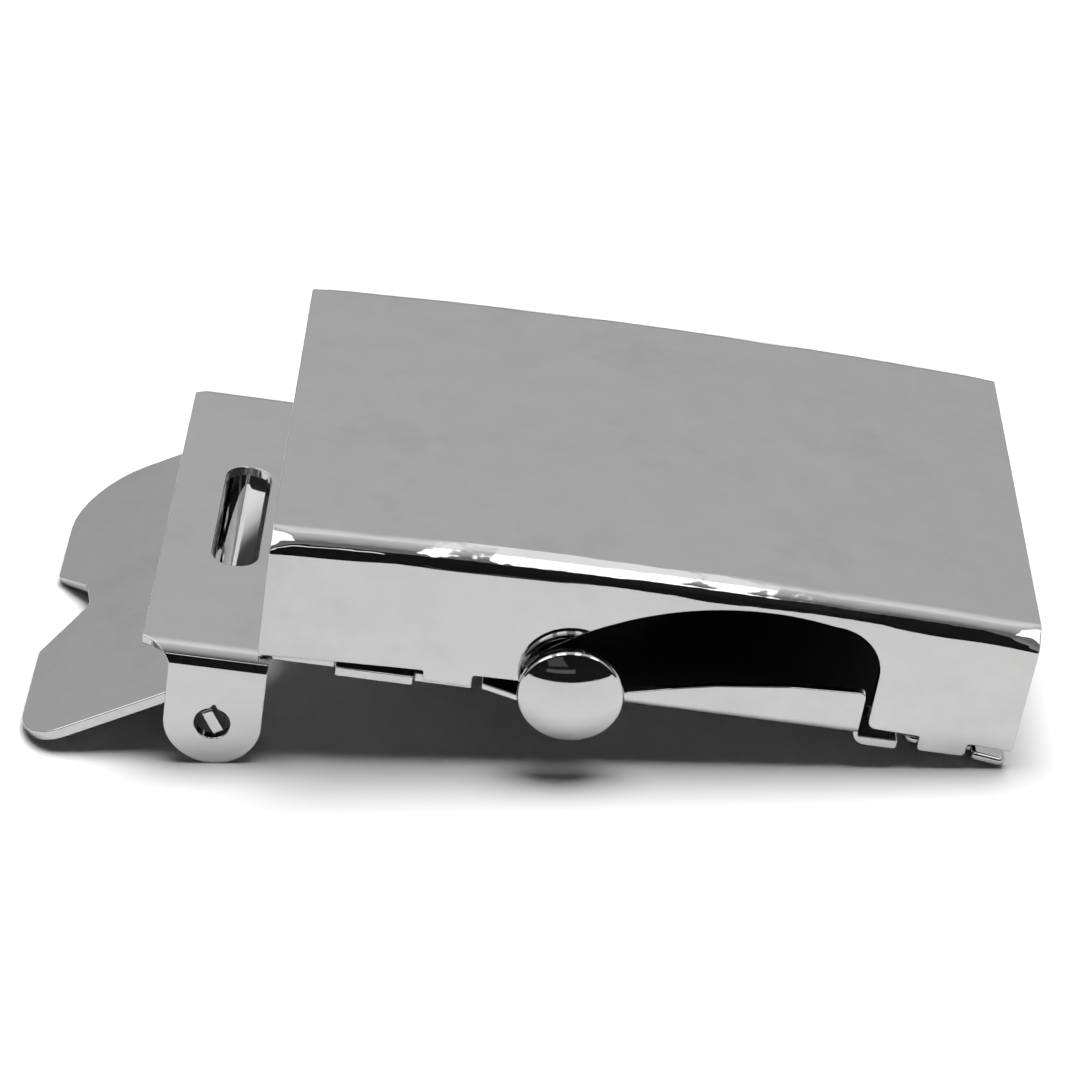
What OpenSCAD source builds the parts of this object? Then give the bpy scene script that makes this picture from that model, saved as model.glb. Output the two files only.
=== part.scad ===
// Ratchet belt buckle, lying face up on a flat surface.
// Every piece is drawn in the buckle's own frame: X runs along the belt, Y across it,
// Z out of the face, with zero at the middle of the face. at_rest() then lays the whole
// buckle on the surface Z = 0, on its two ears, its clamp lever and its entry lip.

/* [Case] */
// Length of the case along the belt
case_len = 60; // [52:0.5:66]
// Width of the case over its side walls
case_w = 41; // [39:0.5:44]
// Height of the side walls, from the face down
wall_h = 11.2; // [10.9:0.1:11.4]
// Thickness of the case sheet
case_t = 1; // [0.8:0.1:1.2]
// Outer radius of the bends between face and walls
bend_r = 1.6; // [1.3:0.1:2]
// Radius of the gentle bow of the face along the belt
bow_r = 584; // [500:4:900]

/* [Finger window] */
// Place along the belt of the arch's highest point
arch_x = 9; // [8:0.5:10]
// Depth of the arch's highest point below the face
arch_top = 1.95; // [1.8:0.05:2.6]
// Radius of the arch's long upper curve
arch_r = 26; // [24:0.5:30]
// Right side of the window
arch_right = 18.2; // [18:0.1:18.6]
// Left side of the window, behind the knob
arch_left = -9.2; // [-9.4:0.1:-8.8]
// Radius of the window's upper right corner
arch_corner_r = 4.2; // [3:0.1:5]

/* [Lugs] */
// Middle of the lugs near the clamp
lug_left_x = -15.05; // [-15.2:0.05:-15]
// Middle of the lugs near the entry
lug_right_x = 24.4; // [24.2:0.1:24.6]
// Width of a lug
lug_w = 3.9; // [3:0.1:4]
// Depth below the face of the tips of the lugs near the clamp
lug_left_z = 12.4; // [12.3:0.05:12.8]
// Depth below the face of the tips of the lugs near the entry
lug_right_z = 13; // [12.7:0.05:13.2]

/* [Clamp plate] */
// Left edge of the clamp plate
plate_left = -39.1; // [-40:0.1:-38.5]
// Depth of the plate's top surface below the face
plate_z = 12.5; // [12.4:0.1:12.7]
// Thickness of the plate
plate_t = 0.85; // [0.7:0.05:1]
// Length of the slot across the plate
slot_len = 15.2; // [10:0.2:18]
// Width of the slot
slot_w = 3.8; // [3:0.1:4.2]
// Middle of the slot along the belt
slot_x = -33.1; // [-33.5:0.1:-32.8]

/* [Ears and clamp lever] */
// Place of the clamp hinge along the belt
hinge_x = -32.9; // [-33.2:0.1:-32.6]
// Depth of the clamp hinge below the face
hinge_z = 19.1; // [18.8:0.1:19.4]
// Width of an ear
ear_w = 7.8; // [7.2:0.1:8.4]
// Distance from the clamp hinge down to the ears' round ends
ear_drop = 3.9; // [3.5:0.1:4.2]
// Radius of the holes in the ears
ear_hole_r = 1.43; // [1.4:0.01:1.5]
// Reach of the clamp lever from its hinge to its tip
flap_len = 16.1; // [14:0.2:18]
// Width of the clamp lever between the ears
flap_w = 38.6; // [34:0.2:38.8]
// Thickness of the clamp lever sheet
flap_t = 0.95; // [0.8:0.05:1.1]
// Distance of the clamp lever's upper side from the hinge
flap_rise = 3.4; // [3.2:0.1:4]
// Depth of the notch in the clamp lever's tip
notch_depth = 4; // [3:0.1:5]
// Number of teeth that bite into the strap
tooth_count = 9; // [5:1:11]

/* [Release lever and knob] */
// Thickness of the release lever sheet
lever_t = 0.7; // [0.6:0.05:0.8]
// Depth of the lever's upper side below the face
lever_z = 11.8; // [11.7:0.05:11.85]
// Height of the pawl's edge above the lever
pawl_rise = 5.4; // [4:0.1:5.6]
// Width of the pawl
pawl_w = 14; // [10:1:20]
// Diameter of the knob
knob_d = 8.4; // [7:0.1:9]
// Gap between the wall and the back of the knob
knob_clear = 0.8; // [0.6:0.05:1.2]
// Length of the knob's side
knob_len = 1; // [0.95:0.05:1.4]
// Height of the knob's dome
knob_dome = 0.95; // [0.4:0.05:1.4]
// Diameter of the lever's hinge pin
pin_d = 1.6; // [1.4:0.1:1.8]

/* [Hidden] */
$fn = 64;
bow_fn = 720;
cut = 0.5;
half_w = case_w / 2;
inner_half_w = half_w - case_t;
// Gap between pieces that are staked together
seat_gap = 0.12;

// Case
bow_half_angle = asin(case_len / 2 / bow_r);
end_margin_angle = 0.1;
wall_foot_z = wall_h + 0.35;
arch_foot_r = 0.8;

// Ear plan: the ear's middle lies on the hinge, and its outer corners at the bend are cut aslant
ear_left = hinge_x - ear_w / 2;
ear_right = hinge_x + ear_w / 2;
ear_round_r = ear_w / 2;
ear_round_z = hinge_z + ear_drop - ear_round_r;
plate_bend_y = half_w - bend_r;
nick_w = 0.6;
nick_h = 0.45;
slot_corner_r = 1.7;

// Plate plan to the right of the ears
foot_left = -23.9;
foot_right = -17.6;
foot_half_w = half_w - 0.1;
foot_rise = 0.3;
foot_lap = 0.25;
tongue_half_w = inner_half_w - seat_gap;
tongue_right = -12.9;

// Entry lip
lip_left = 21.3;
lip_bend_x = 26.95;
lip_right = 29.75;
lip_slope = 8;
lip_foot_x = lip_right;
lip_foot_z = plate_z + (lip_right - lip_bend_x) * tan(lip_slope) + plate_t / cos(lip_slope);

// Clamp lever, in its own frame: U runs from the hinge to the tip, W out of its upper side
flap_bend_r = 2.2;
flap_under = flap_rise - flap_t;
arm_foot = 1.2;
trunnion_half_w = half_w - 0.2;
tip_near_corner_r = 4.2;
tip_far_corner_r = 6.5;
// Notch corners as depth below the tip and distance across the belt
notch_near_w = 6.4;
notch_near_floor = [notch_depth, 1.3];
notch_far_w = 5;
notch_far_floor = [notch_depth - 0.8, 1.9];
notch_corner_r = 1.6;
tooth_u = 1.65;
tooth_h = 1;
tooth_base = 1.4;
tooth_pitch = 3.9;

// Release lever
pin_y = 17.6;
pin_z = 10.3;
pin_left = -14.4;
pin_right = 22.8;
pin_ear_t = 0.8;
knuckle_r = 1.6;
knuckle_bore_r = pin_d / 2 + 0.05;
knuckle_len = 5;
knuckle_lefts = [-8.5, 11.8];
lever_left = -8;
lever_right = 17.6;
lever_far = 18.4;
lever_near = half_w;
tab_depth = 4;
stop_tab_right = 20.85;
stop_tab_drop = 0.5;
// Upper edge of the near flange, from the right end to the knob
flange_right_z = 8.2;
flange_edge = [[11.7, -8.5], [5.7, -9.35], [2.4, -10.1], [-1, -11], [-2.4, -11.3]];
flange_left_z = 11.3;
flange_boss_r = 2.6;
// Left stop tab: it dips below the lever and then rises to the wall's foot
left_tab_x = [-9.2, -12.3];
left_tab_dip = 0.85;
left_tab_rise = 0.1;
left_tab_t = 0.55;
// Pawl: a tongue bent up and to the left out of the lever
pawl_root = 3.6;
pawl_tip = -2.4;
pawl_base = 2.86;
pawl_edge = [0.3, 0.9];
knob_x = -5.45;
knob_z = 10.9;
stem_r = 1.4;
stem_len = lever_t + 0.3;
knob_rim_r = 0.35;
knob_back_r = 0.5;

// Return spring of the release lever
wire_r = 0.25;
leg_r = 0.22;
hook_r = 0.2;
seam_angle = 45;
coil_r = 1.15;
coil_left = -2;
coil_turns = 16;
coil_pitch = 0.5;
leg_up = 4.2;
leg_in = 6.5;
leg_hole_r = 0.5;
hook_drop = 0.7;

// How the buckle lies: it tilts until the ears' round ends and the lip's edge are level, and
// the clamp lever hangs open until its tip is level with them too
span_x = lip_foot_x - hinge_x;
span_z = ear_round_z - lip_foot_z;
rest_tilt = asin(ear_round_r / norm([span_x, span_z])) + atan(span_z / span_x);
rest_lift = hinge_x * sin(rest_tilt) + ear_round_z * cos(rest_tilt) + ear_round_r;
flap_fall = asin(ear_rest_h() / norm([flap_len, flap_under])) + atan(flap_under / flap_len);
flap_open = flap_fall + rest_tilt;
knob_reach = knob_clear + knob_len + knob_dome;
rest_left = turned_x(hinge_x, hinge_z) - flap_len * cos(flap_fall) - flap_rise * sin(flap_fall);
rest_right = turned_x(case_len / 2, face_drop(case_len / 2));

// Depth of the bowed face below its middle, at a place along the belt
function face_drop(x) = bow_r - sqrt(bow_r * bow_r - x * x);
// Place along the surface of a point that lies at x and at a depth below the face
function turned_x(x, depth) = x * cos(rest_tilt) - depth * sin(rest_tilt);
// Height of the clamp hinge above the surface
function ear_rest_h() = rest_lift - hinge_x * sin(rest_tilt) - hinge_z * cos(rest_tilt);

// Lays the buckle's own frame on the surface, with zero under the middle of its outline
module at_rest() {
  translate([-(rest_left + rest_right) / 2, knob_reach / 2, rest_lift])
    rotate([0, rest_tilt, 0]) children();
}

// A shape drawn in X and Z, as deep as from near to far along Y
module across(near, far) {
  translate([0, far, 0]) rotate([90, 0, 0]) linear_extrude(far - near) children();
}

// Bar between two X, two Y and two Z values
module bar(x, y, z) {
  translate([x[0], y[0], z[0]]) cube([x[1] - x[0], y[1] - y[0], z[1] - z[0]]);
}

// Section of the bent sheet, across the belt: X is the distance from the bow's axis
module channel_section(outer, width, corner_r, depth) {
  translate([outer - depth, -width / 2]) square([depth - corner_r, width]);
  translate([outer - corner_r - cut, corner_r - width / 2])
    square([corner_r + cut, width - 2 * corner_r]);
  for (side = [-1, 1])
    translate([outer - corner_r, side * (width / 2 - corner_r)]) circle(corner_r);
}

module bowed_channel() {
  sweep_angle = 2 * (bow_half_angle + end_margin_angle);
  translate([0, 0, -bow_r]) rotate([90, 0, 0]) rotate([0, 0, 90 - sweep_angle / 2])
    rotate_extrude(angle = sweep_angle, $fn = bow_fn)
      difference() {
        channel_section(bow_r, case_w, bend_r, wall_h);
        channel_section(bow_r - case_t, case_w - 2 * case_t, bend_r - case_t, wall_h);
      }
}

// Outline of the finger window in X and Z, open at the wall's foot
module window_shape() {
  arch_z = -arch_top - arch_r;
  corner_x = arch_right - arch_corner_r;
  corner_z = arch_z + sqrt(arch_r * arch_r - (corner_x - arch_x) * (corner_x - arch_x))
    - arch_corner_r;
  intersection() {
    translate([arch_x, arch_z]) circle(arch_r, $fn = 180);
    translate([arch_left, -wall_foot_z - 1]) square([corner_x - arch_left, wall_foot_z]);
  }
  translate([corner_x, corner_z]) circle(arch_corner_r);
  translate([corner_x - cut, -wall_foot_z - 1])
    square([arch_right - corner_x + cut, wall_foot_z + 1 + corner_z]);
  difference() {
    translate([arch_right - cut, -wall_foot_z - 1])
      square([arch_foot_r + cut, arch_foot_r + 1]);
    translate([arch_right + arch_foot_r, arch_foot_r - wall_foot_z - 0.2]) circle(arch_foot_r);
  }
}

module lug(x, side, tip_z) {
  root_z = wall_h - 1;
  corner_r = 0.4;
  across(side > 0 ? inner_half_w : -half_w, side > 0 ? half_w : -inner_half_w) {
    translate([x - lug_w / 2, corner_r - tip_z]) square([lug_w, tip_z - root_z]);
    translate([x + corner_r - lug_w / 2, -tip_z]) square([lug_w - 2 * corner_r, 1]);
    for (end = [-1, 1])
      translate([x + end * (lug_w / 2 - corner_r), corner_r - tip_z]) circle(corner_r);
  }
}

module case() {
  color("silver") at_rest() union() {
    difference() {
      bowed_channel();
      for (end = [-1, 1])
        translate([end * (case_len / 2 + 5), 0, -wall_h / 2])
          cube([10, case_w + 2, wall_h * 2], center = true);
      across(-half_w - 1, -inner_half_w + 0.3) window_shape();
    }
    for (side = [-1, 1]) {
      lug(lug_left_x, side, lug_left_z);
      lug(lug_right_x, side, lug_right_z);
    }
  }
}

// One ear and its bend, on the near side
module ear_shell() {
  inner_y = half_w - plate_t;
  difference() {
    union() {
      across(-half_w, -inner_y) {
        translate([ear_left, -ear_round_z]) square([ear_w, ear_round_z - plate_z - bend_r]);
        translate([hinge_x, -ear_round_z]) circle(ear_round_r, $fn = 96);
      }
      intersection() {
        translate([plate_left, -plate_bend_y, -plate_z - bend_r]) rotate([0, 90, 0])
          difference() {
            cylinder(r = bend_r, h = ear_right - plate_left);
            translate([0, 0, -cut])
              cylinder(r = bend_r - plate_t, h = ear_right - plate_left + 2 * cut);
          }
        bar([plate_left, ear_right], [-half_w - cut, -plate_bend_y],
            [-plate_z - bend_r, -plate_z + cut]);
      }
    }
    translate([hinge_x, -half_w - cut, -hinge_z]) rotate([-90, 0, 0])
      cylinder(r = ear_hole_r, h = plate_t + 2 * cut);
    across(-half_w - cut, -inner_y + cut)
      translate([hinge_x, ear_hole_r - hinge_z - 0.1])
        polygon([[-nick_w / 2, 0], [nick_w / 2, 0], [0.05, nick_h], [-0.05, nick_h]]);
    translate([0, 0, -ear_round_z]) linear_extrude(ear_round_z)
      polygon([[plate_left - cut, -plate_bend_y + 0.01], [plate_left + 0.2, -plate_bend_y],
               [ear_left, -half_w], [ear_left, -half_w - 1], [plate_left - cut, -half_w - 1]]);
  }
}

// Upturned ear that holds one end of the lever's hinge pin
module pin_ear(left) {
  difference() {
    union() {
      bar([left, left + pin_ear_t], [pin_y - knuckle_r, pin_y + knuckle_r], [-plate_z, -pin_z]);
      translate([left, pin_y, -pin_z]) rotate([0, 90, 0]) cylinder(r = knuckle_r, h = pin_ear_t);
    }
    translate([left - cut, pin_y, -pin_z]) rotate([0, 90, 0])
      cylinder(r = pin_d / 2 + 0.02, h = pin_ear_t + 2 * cut);
  }
}

// Edge of the plate that shows under the wall's foot, pressed up a little towards it
module foot_strip(side) {
  inner_y = inner_half_w - foot_lap;
  bar([foot_left, foot_right], side > 0 ? [inner_y, foot_half_w] : [-foot_half_w, -inner_y],
      [foot_rise - plate_z - plate_t, foot_rise - plate_z]);
}

module clamp_plate() {
  color("darkgray") at_rest() difference() {
    union() {
      translate([0, 0, -plate_z - plate_t]) linear_extrude(plate_t) {
        translate([plate_left, -plate_bend_y])
          square([tongue_right - plate_left - 5, 2 * plate_bend_y]);
        translate([foot_left, -tongue_half_w])
          square([tongue_right - foot_left, 2 * tongue_half_w]);
      }
      for (side = [-1, 1]) foot_strip(side);
      ear_shell();
      mirror([0, 1, 0]) ear_shell();
      pin_ear(tongue_right - pin_ear_t);
    }
    translate([slot_x, 0, -plate_z - plate_t - cut]) linear_extrude(plate_t + 2 * cut) {
      square([slot_w, slot_len - 2 * slot_corner_r], center = true);
      square([slot_w - 2 * slot_corner_r, slot_len], center = true);
      for (sx = [-1, 1], sy = [-1, 1])
        translate([sx * (slot_w / 2 - slot_corner_r), sy * (slot_len / 2 - slot_corner_r)])
          circle(slot_corner_r);
    }
  }
}

// Outline of the clamp lever's flap: X is the distance from the hinge, Y is towards the near side
module flap_shape() {
  root = flap_bend_r;
  near_r = tip_near_corner_r;
  far_r = tip_far_corner_r;
  difference() {
    union() {
      translate([root, -flap_w / 2]) square([flap_len - far_r - root, flap_w]);
      translate([root, far_r - flap_w / 2]) square([flap_len - root, flap_w - near_r - far_r]);
      translate([root, 0]) square([flap_len - near_r - root, flap_w / 2]);
      translate([flap_len - near_r, flap_w / 2 - near_r]) circle(near_r);
      translate([flap_len - far_r, far_r - flap_w / 2]) circle(far_r);
    }
    polygon([[flap_len - notch_near_floor[0], notch_near_floor[1]],
             [flap_len - notch_far_floor[0], -notch_far_floor[1]],
             [flap_len, -notch_far_w], [flap_len + 1, -notch_far_w],
             [flap_len + 1, notch_near_w], [flap_len, notch_near_w]]);
    translate([flap_len - notch_depth + notch_corner_r, 0]) circle(notch_corner_r);
  }
}

// The lever in its own frame: X to the tip, Z out of its upper side, zero on the hinge
module lever_blank() {
  arm_half_t = flap_t / 2;
  bend_x = flap_bend_r - arm_half_t;
  bend_z = flap_rise - flap_bend_r;
  translate([0, 0, flap_under]) linear_extrude(flap_t) flap_shape();
  bar([bend_x, flap_bend_r + cut], [-flap_w / 2, flap_w / 2], [flap_under, flap_rise]);
  intersection() {
    translate([bend_x, flap_w / 2, bend_z]) rotate([90, 0, 0]) difference() {
      cylinder(r = flap_bend_r, h = flap_w);
      translate([0, 0, -cut]) cylinder(r = flap_bend_r - flap_t, h = flap_w + 2 * cut);
    }
    bar([-flap_bend_r, bend_x], [-flap_w / 2 - cut, flap_w / 2 + cut], [bend_z, flap_rise + cut]);
  }
  bar([-arm_half_t, arm_half_t], [-flap_w / 2, flap_w / 2], [-arm_foot, bend_z]);
  bar([-arm_half_t, arm_half_t], [-trunnion_half_w, trunnion_half_w], [-arm_foot, arm_foot]);
}

module teeth() {
  first = -(tooth_count - 1) / 2;
  for (i = [0:tooth_count - 1])
    translate([0, (first + i) * tooth_pitch + tooth_base / 2, flap_rise - 0.1])
      rotate([90, 0, 0]) linear_extrude(tooth_base)
        polygon([[tooth_u - 0.3, 0], [tooth_u + 1.1, 0], [tooth_u - 0.1, tooth_h + 0.1],
                 [tooth_u - 0.3, tooth_h + 0.1]]);
}

module clamp_lever() {
  color("gray") at_rest() translate([hinge_x, 0, -hinge_z]) rotate([0, flap_open, 180]) union() {
    lever_blank();
    teeth();
  }
}

module entry_lip() {
  rise = (lip_right - lip_bend_x) * tan(lip_slope);
  foot = plate_t / cos(lip_slope);
  color("darkgray") at_rest() union() {
    bar([lip_left, lip_bend_x + 0.2], [-tongue_half_w, tongue_half_w],
        [-plate_z - plate_t, -plate_z]);
    across(-foot_half_w, foot_half_w)
      polygon([[lip_bend_x, -plate_z], [lip_right, -plate_z - rise],
               [lip_right, -plate_z - rise - foot], [lip_bend_x, -plate_z - foot]]);
    pin_ear(lip_left);
  }
}

// Profile in X and Z of the left stop tab, which dips and then rises to the wall's foot
module left_tab_shape() {
  root = lever_left + cut;
  dip = -lever_z - left_tab_dip;
  end = -lever_z - left_tab_rise;
  polygon([[root, -lever_z], [left_tab_x[0], dip], [left_tab_x[1], end],
           [left_tab_x[1], end - left_tab_t], [left_tab_x[0], dip - left_tab_t],
           [root, -lever_z - lever_t]]);
}

// Near flange in X and Z: low beside the knob and higher towards the right
module flange_shape() {
  foot = -lever_z - lever_t;
  polygon(concat([[knob_x, foot], [lever_right, foot], [lever_right, -flange_right_z]],
                 flange_edge, [[knob_x, -flange_left_z]]));
  translate([knob_x, -knob_z]) circle(flange_boss_r);
}

module release_lever() {
  bottom = -lever_z - lever_t;
  color("lightgray") at_rest() difference() {
    union() {
      bar([lever_left, lever_right], [-lever_near, lever_far], [bottom, -lever_z]);
      across(-lever_near, -lever_near + lever_t) flange_shape();
      across(-lever_near, -lever_near + tab_depth) left_tab_shape();
      bar([lever_right - lever_t, lever_right], [-lever_near, -lever_near + tab_depth],
          [bottom - stop_tab_drop, -lever_z]);
      bar([lever_right - lever_t, stop_tab_right], [-lever_near, -lever_near + tab_depth],
          [bottom - stop_tab_drop, -lever_z - stop_tab_drop]);
      bar([lever_right - lever_t, stop_tab_right], [-lever_near + tab_depth - lever_t, lever_far],
          [bottom, -lever_z]);
      across(-pawl_w / 2, pawl_w / 2)
        polygon([[pawl_root, -lever_z - 0.1], [pawl_tip, -lever_z + pawl_rise],
                 [pawl_tip - pawl_edge[0], -lever_z + pawl_rise - pawl_edge[1]],
                 [pawl_root - pawl_base, -lever_z - 0.1]]);
      for (left = knuckle_lefts)
        translate([left, pin_y, -pin_z]) rotate([0, 90, 0])
          cylinder(r = knuckle_r, h = knuckle_len);
    }
    for (left = knuckle_lefts)
      translate([left - cut, pin_y, -pin_z]) rotate([0, 90, 0])
        cylinder(r = knuckle_bore_r, h = knuckle_len + 2 * cut);
    translate([coil_left, pin_y - leg_in, bottom - cut]) cylinder(r = leg_hole_r, h = 2);
    translate([knob_x, -lever_near - cut, -knob_z]) rotate([-90, 0, 0])
      cylinder(r = stem_r + 0.02, h = 2);
  }
}

// Half section of the knob: X is the radius, Y runs outwards from the wall
module knob_section() {
  r = knob_d / 2;
  dome_r = (r * r + knob_dome * knob_dome) / (2 * knob_dome);
  translate([0, knob_clear]) square([r - knob_back_r, knob_len]);
  translate([0, knob_clear + knob_back_r]) square([r - knob_rim_r, knob_len - knob_back_r]);
  translate([0, knob_clear + knob_back_r]) square([r, knob_len - knob_back_r - knob_rim_r]);
  translate([r - knob_back_r, knob_clear + knob_back_r]) circle(knob_back_r);
  translate([r - knob_rim_r, knob_clear + knob_len - knob_rim_r]) circle(knob_rim_r);
  intersection() {
    translate([0, knob_clear + knob_len + knob_dome - dome_r]) circle(dome_r, $fn = 180);
    translate([0, knob_clear + knob_len - 0.3]) square([r - knob_rim_r, knob_dome + 1]);
  }
  translate([0, -stem_len]) square([stem_r, stem_len + knob_clear + knob_len / 2]);
}

module release_knob() {
  color("gainsboro") at_rest() translate([knob_x, -lever_near, -knob_z]) rotate([90, 0, 0])
    rotate_extrude($fn = 96) knob_section();
}

module lever_pin() {
  color("gray") at_rest() translate([pin_left, pin_y, -pin_z]) rotate([0, 90, 0])
    cylinder(d = pin_d, h = pin_right - pin_left);
}

// Half section of the close-wound coil: X is the radius, Y runs along the pin
module coil_section() {
  core = wire_r / 2;
  translate([coil_r - core, 0]) square([2 * core, (coil_turns - 1) * coil_pitch]);
  for (i = [0:coil_turns - 1])
    translate([coil_r, i * coil_pitch]) circle(wire_r, $fn = 24);
}

module wire_leg(r, x, y, from, to) {
  translate([x, y, from]) cylinder(r = r, h = to - from, $fn = 24);
}

// Torsion spring round the pin: one leg hooks through the lever, the other leans on the far wall
module lever_spring() {
  coil_right = coil_left + (coil_turns - 1) * coil_pitch;
  leg_z = -pin_z - coil_r;
  color("dimgray") at_rest() union() {
    translate([coil_left, pin_y, -pin_z]) rotate([0, 90, 0]) rotate([0, 0, seam_angle])
      rotate_extrude($fn = 48) coil_section();
    translate([coil_left, pin_y, leg_z]) rotate([90, 0, 0])
      cylinder(r = leg_r, h = leg_in + leg_r, $fn = 24);
    wire_leg(hook_r, coil_left, pin_y - leg_in, -lever_z - lever_t - hook_drop, leg_z);
    wire_leg(leg_r, coil_right, pin_y + coil_r, -pin_z, -pin_z + leg_up);
  }
}

case();
clamp_plate();
clamp_lever();
entry_lip();
release_lever();
release_knob();
lever_pin();
lever_spring();
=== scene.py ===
# Ratchet belt buckle: folded sheet pieces, knob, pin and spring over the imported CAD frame.
# Every sheet piece is made the way the real one is: a flat blank with rounded rims is cut
# out, cut across where it folds or bows, and then bent into its place.

import math

import bmesh
import bpy
from bpy.props import FloatProperty, FloatVectorProperty, IntProperty, PointerProperty
from bpy.types import Operator, Panel, PropertyGroup
from mathutils import Euler, Matrix, Vector
from mathutils.geometry import tessellate_polygon


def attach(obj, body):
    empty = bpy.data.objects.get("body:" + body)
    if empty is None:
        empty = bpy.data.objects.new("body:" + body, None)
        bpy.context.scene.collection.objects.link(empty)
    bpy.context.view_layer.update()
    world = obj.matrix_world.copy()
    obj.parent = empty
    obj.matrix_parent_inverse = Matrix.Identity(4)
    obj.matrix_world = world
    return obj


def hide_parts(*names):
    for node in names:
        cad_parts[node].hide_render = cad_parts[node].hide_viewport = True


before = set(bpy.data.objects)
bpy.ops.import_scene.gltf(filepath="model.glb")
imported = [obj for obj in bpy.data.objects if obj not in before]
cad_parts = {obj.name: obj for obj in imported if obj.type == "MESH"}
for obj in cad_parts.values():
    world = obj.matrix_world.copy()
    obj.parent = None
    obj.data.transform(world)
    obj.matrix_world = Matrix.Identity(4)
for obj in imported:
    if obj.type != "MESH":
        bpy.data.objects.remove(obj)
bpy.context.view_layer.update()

bl_info = {
    "name": "Ratchet Belt Buckle",
    "version": (1, 0, 0),
    "blender": (4, 5, 0),
    "location": "View3D > Sidebar > Buckle",
    "description": "Builds the pieces of a ratchet belt buckle over its CAD frame, and a studio",
    "category": "Object",
}

MM = 0.001
QUARTER = math.pi / 2

# Points closer than this are one point
TOUCHING = 0.001 * MM
# Step over which the direction of a placing is measured
PROBE = 10 * TOUCHING
# A corner that turns by fewer radians than this isn't rounded
STRAIGHT = 0.01
# Pieces that a quarter bend and a rounded rim are divided into
BEND_CUTS, RIM_STEPS = 10, 3

# Radii of the corners that a punch leaves
TIGHT, EASED, SOFT = 0.2 * MM, 0.3 * MM, 0.4 * MM

# Places of a sheet piece's two finishes: the bright plating, and a dull plating painted nearly
# black as painted shade on inner sides
SHINY, DULL_SHADED = 0, 1


def length(name, description, millimetres, low=0.0, high=700.0):
    """A size that shows in the sidebar as a length."""
    return FloatProperty(
        name=name,
        description=description,
        default=millimetres * MM,
        min=low * MM,
        max=high * MM,
        precision=5,
        subtype="DISTANCE",
        unit="LENGTH",
    )


def place_along(name, description, millimetres):
    """A place along the belt, from the middle of the face, which may be negative."""
    return length(name, description, millimetres, -60.0, 60.0)


def colour(name, description, grey, tint=(1.0, 1.0, 1.0)):
    """A colour that shows in the sidebar as a swatch."""
    return FloatVectorProperty(
        name=name,
        description=description,
        default=tuple(grey * part for part in tint),
        min=0.0,
        max=1.0,
        size=3,
        subtype="COLOR",
    )


def share(name, description, value, high=1.0):
    """A plain number from nought up."""
    return FloatProperty(name=name, description=description, default=value, min=0.0, max=high)


class CaseSizes(PropertyGroup):
    """Sizes of the bowed case and of its finger window"""

    length: length("Length", "Length of the case along the belt", 60)
    width: length("Width", "Width over the side walls", 41)
    wall: length("Wall", "Height of the side walls, from the face down", 11.2)
    sheet: length("Sheet", "Thickness of the sheet", 1)
    bend: length("Bend", "Outer radius of the bends between face and walls", 1.75)
    bow: length("Bow", "Radius of the gentle bow along the belt", 584)
    rim: length("Rim", "Rounding of the cut edges", 0.13)
    soft_end: length("Soft end", "How far from its ends a bend's corners are soft", 2)
    soft_corner: length("Soft corner", "How far a bend's corners sink in at its ends", 0.24)
    arch_x: place_along("Arch", "Place of the window arch's highest point", 9)
    arch_top: length("Arch top", "Depth of the arch's highest point", 1.95)
    arch_radius: length("Arch radius", "Radius of the arch's long curve", 26)
    window_left: place_along("Window left", "Left side of the window", -9.2)
    window_right: place_along("Window right", "Right side of the window", 18.2)
    window_corner: length("Window corner", "Radius of its upper right corner", 4.2)
    window_flare: length("Window flare", "Radius at the foot of its right side", 0.7)
    lug_left: place_along("Left lugs", "Middle of the lugs near the clamp", -15.05)
    lug_right: place_along("Right lugs", "Middle of the lugs near the entry", 24.4)
    lug_width: length("Lug width", "Width of a lug", 3.9)
    lug_left_depth: length("Left lug depth", "Depth of the tips of the left lugs", 12.4)
    lug_right_depth: length("Right lug depth", "Depth of the tips of the right lugs", 13)


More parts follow.
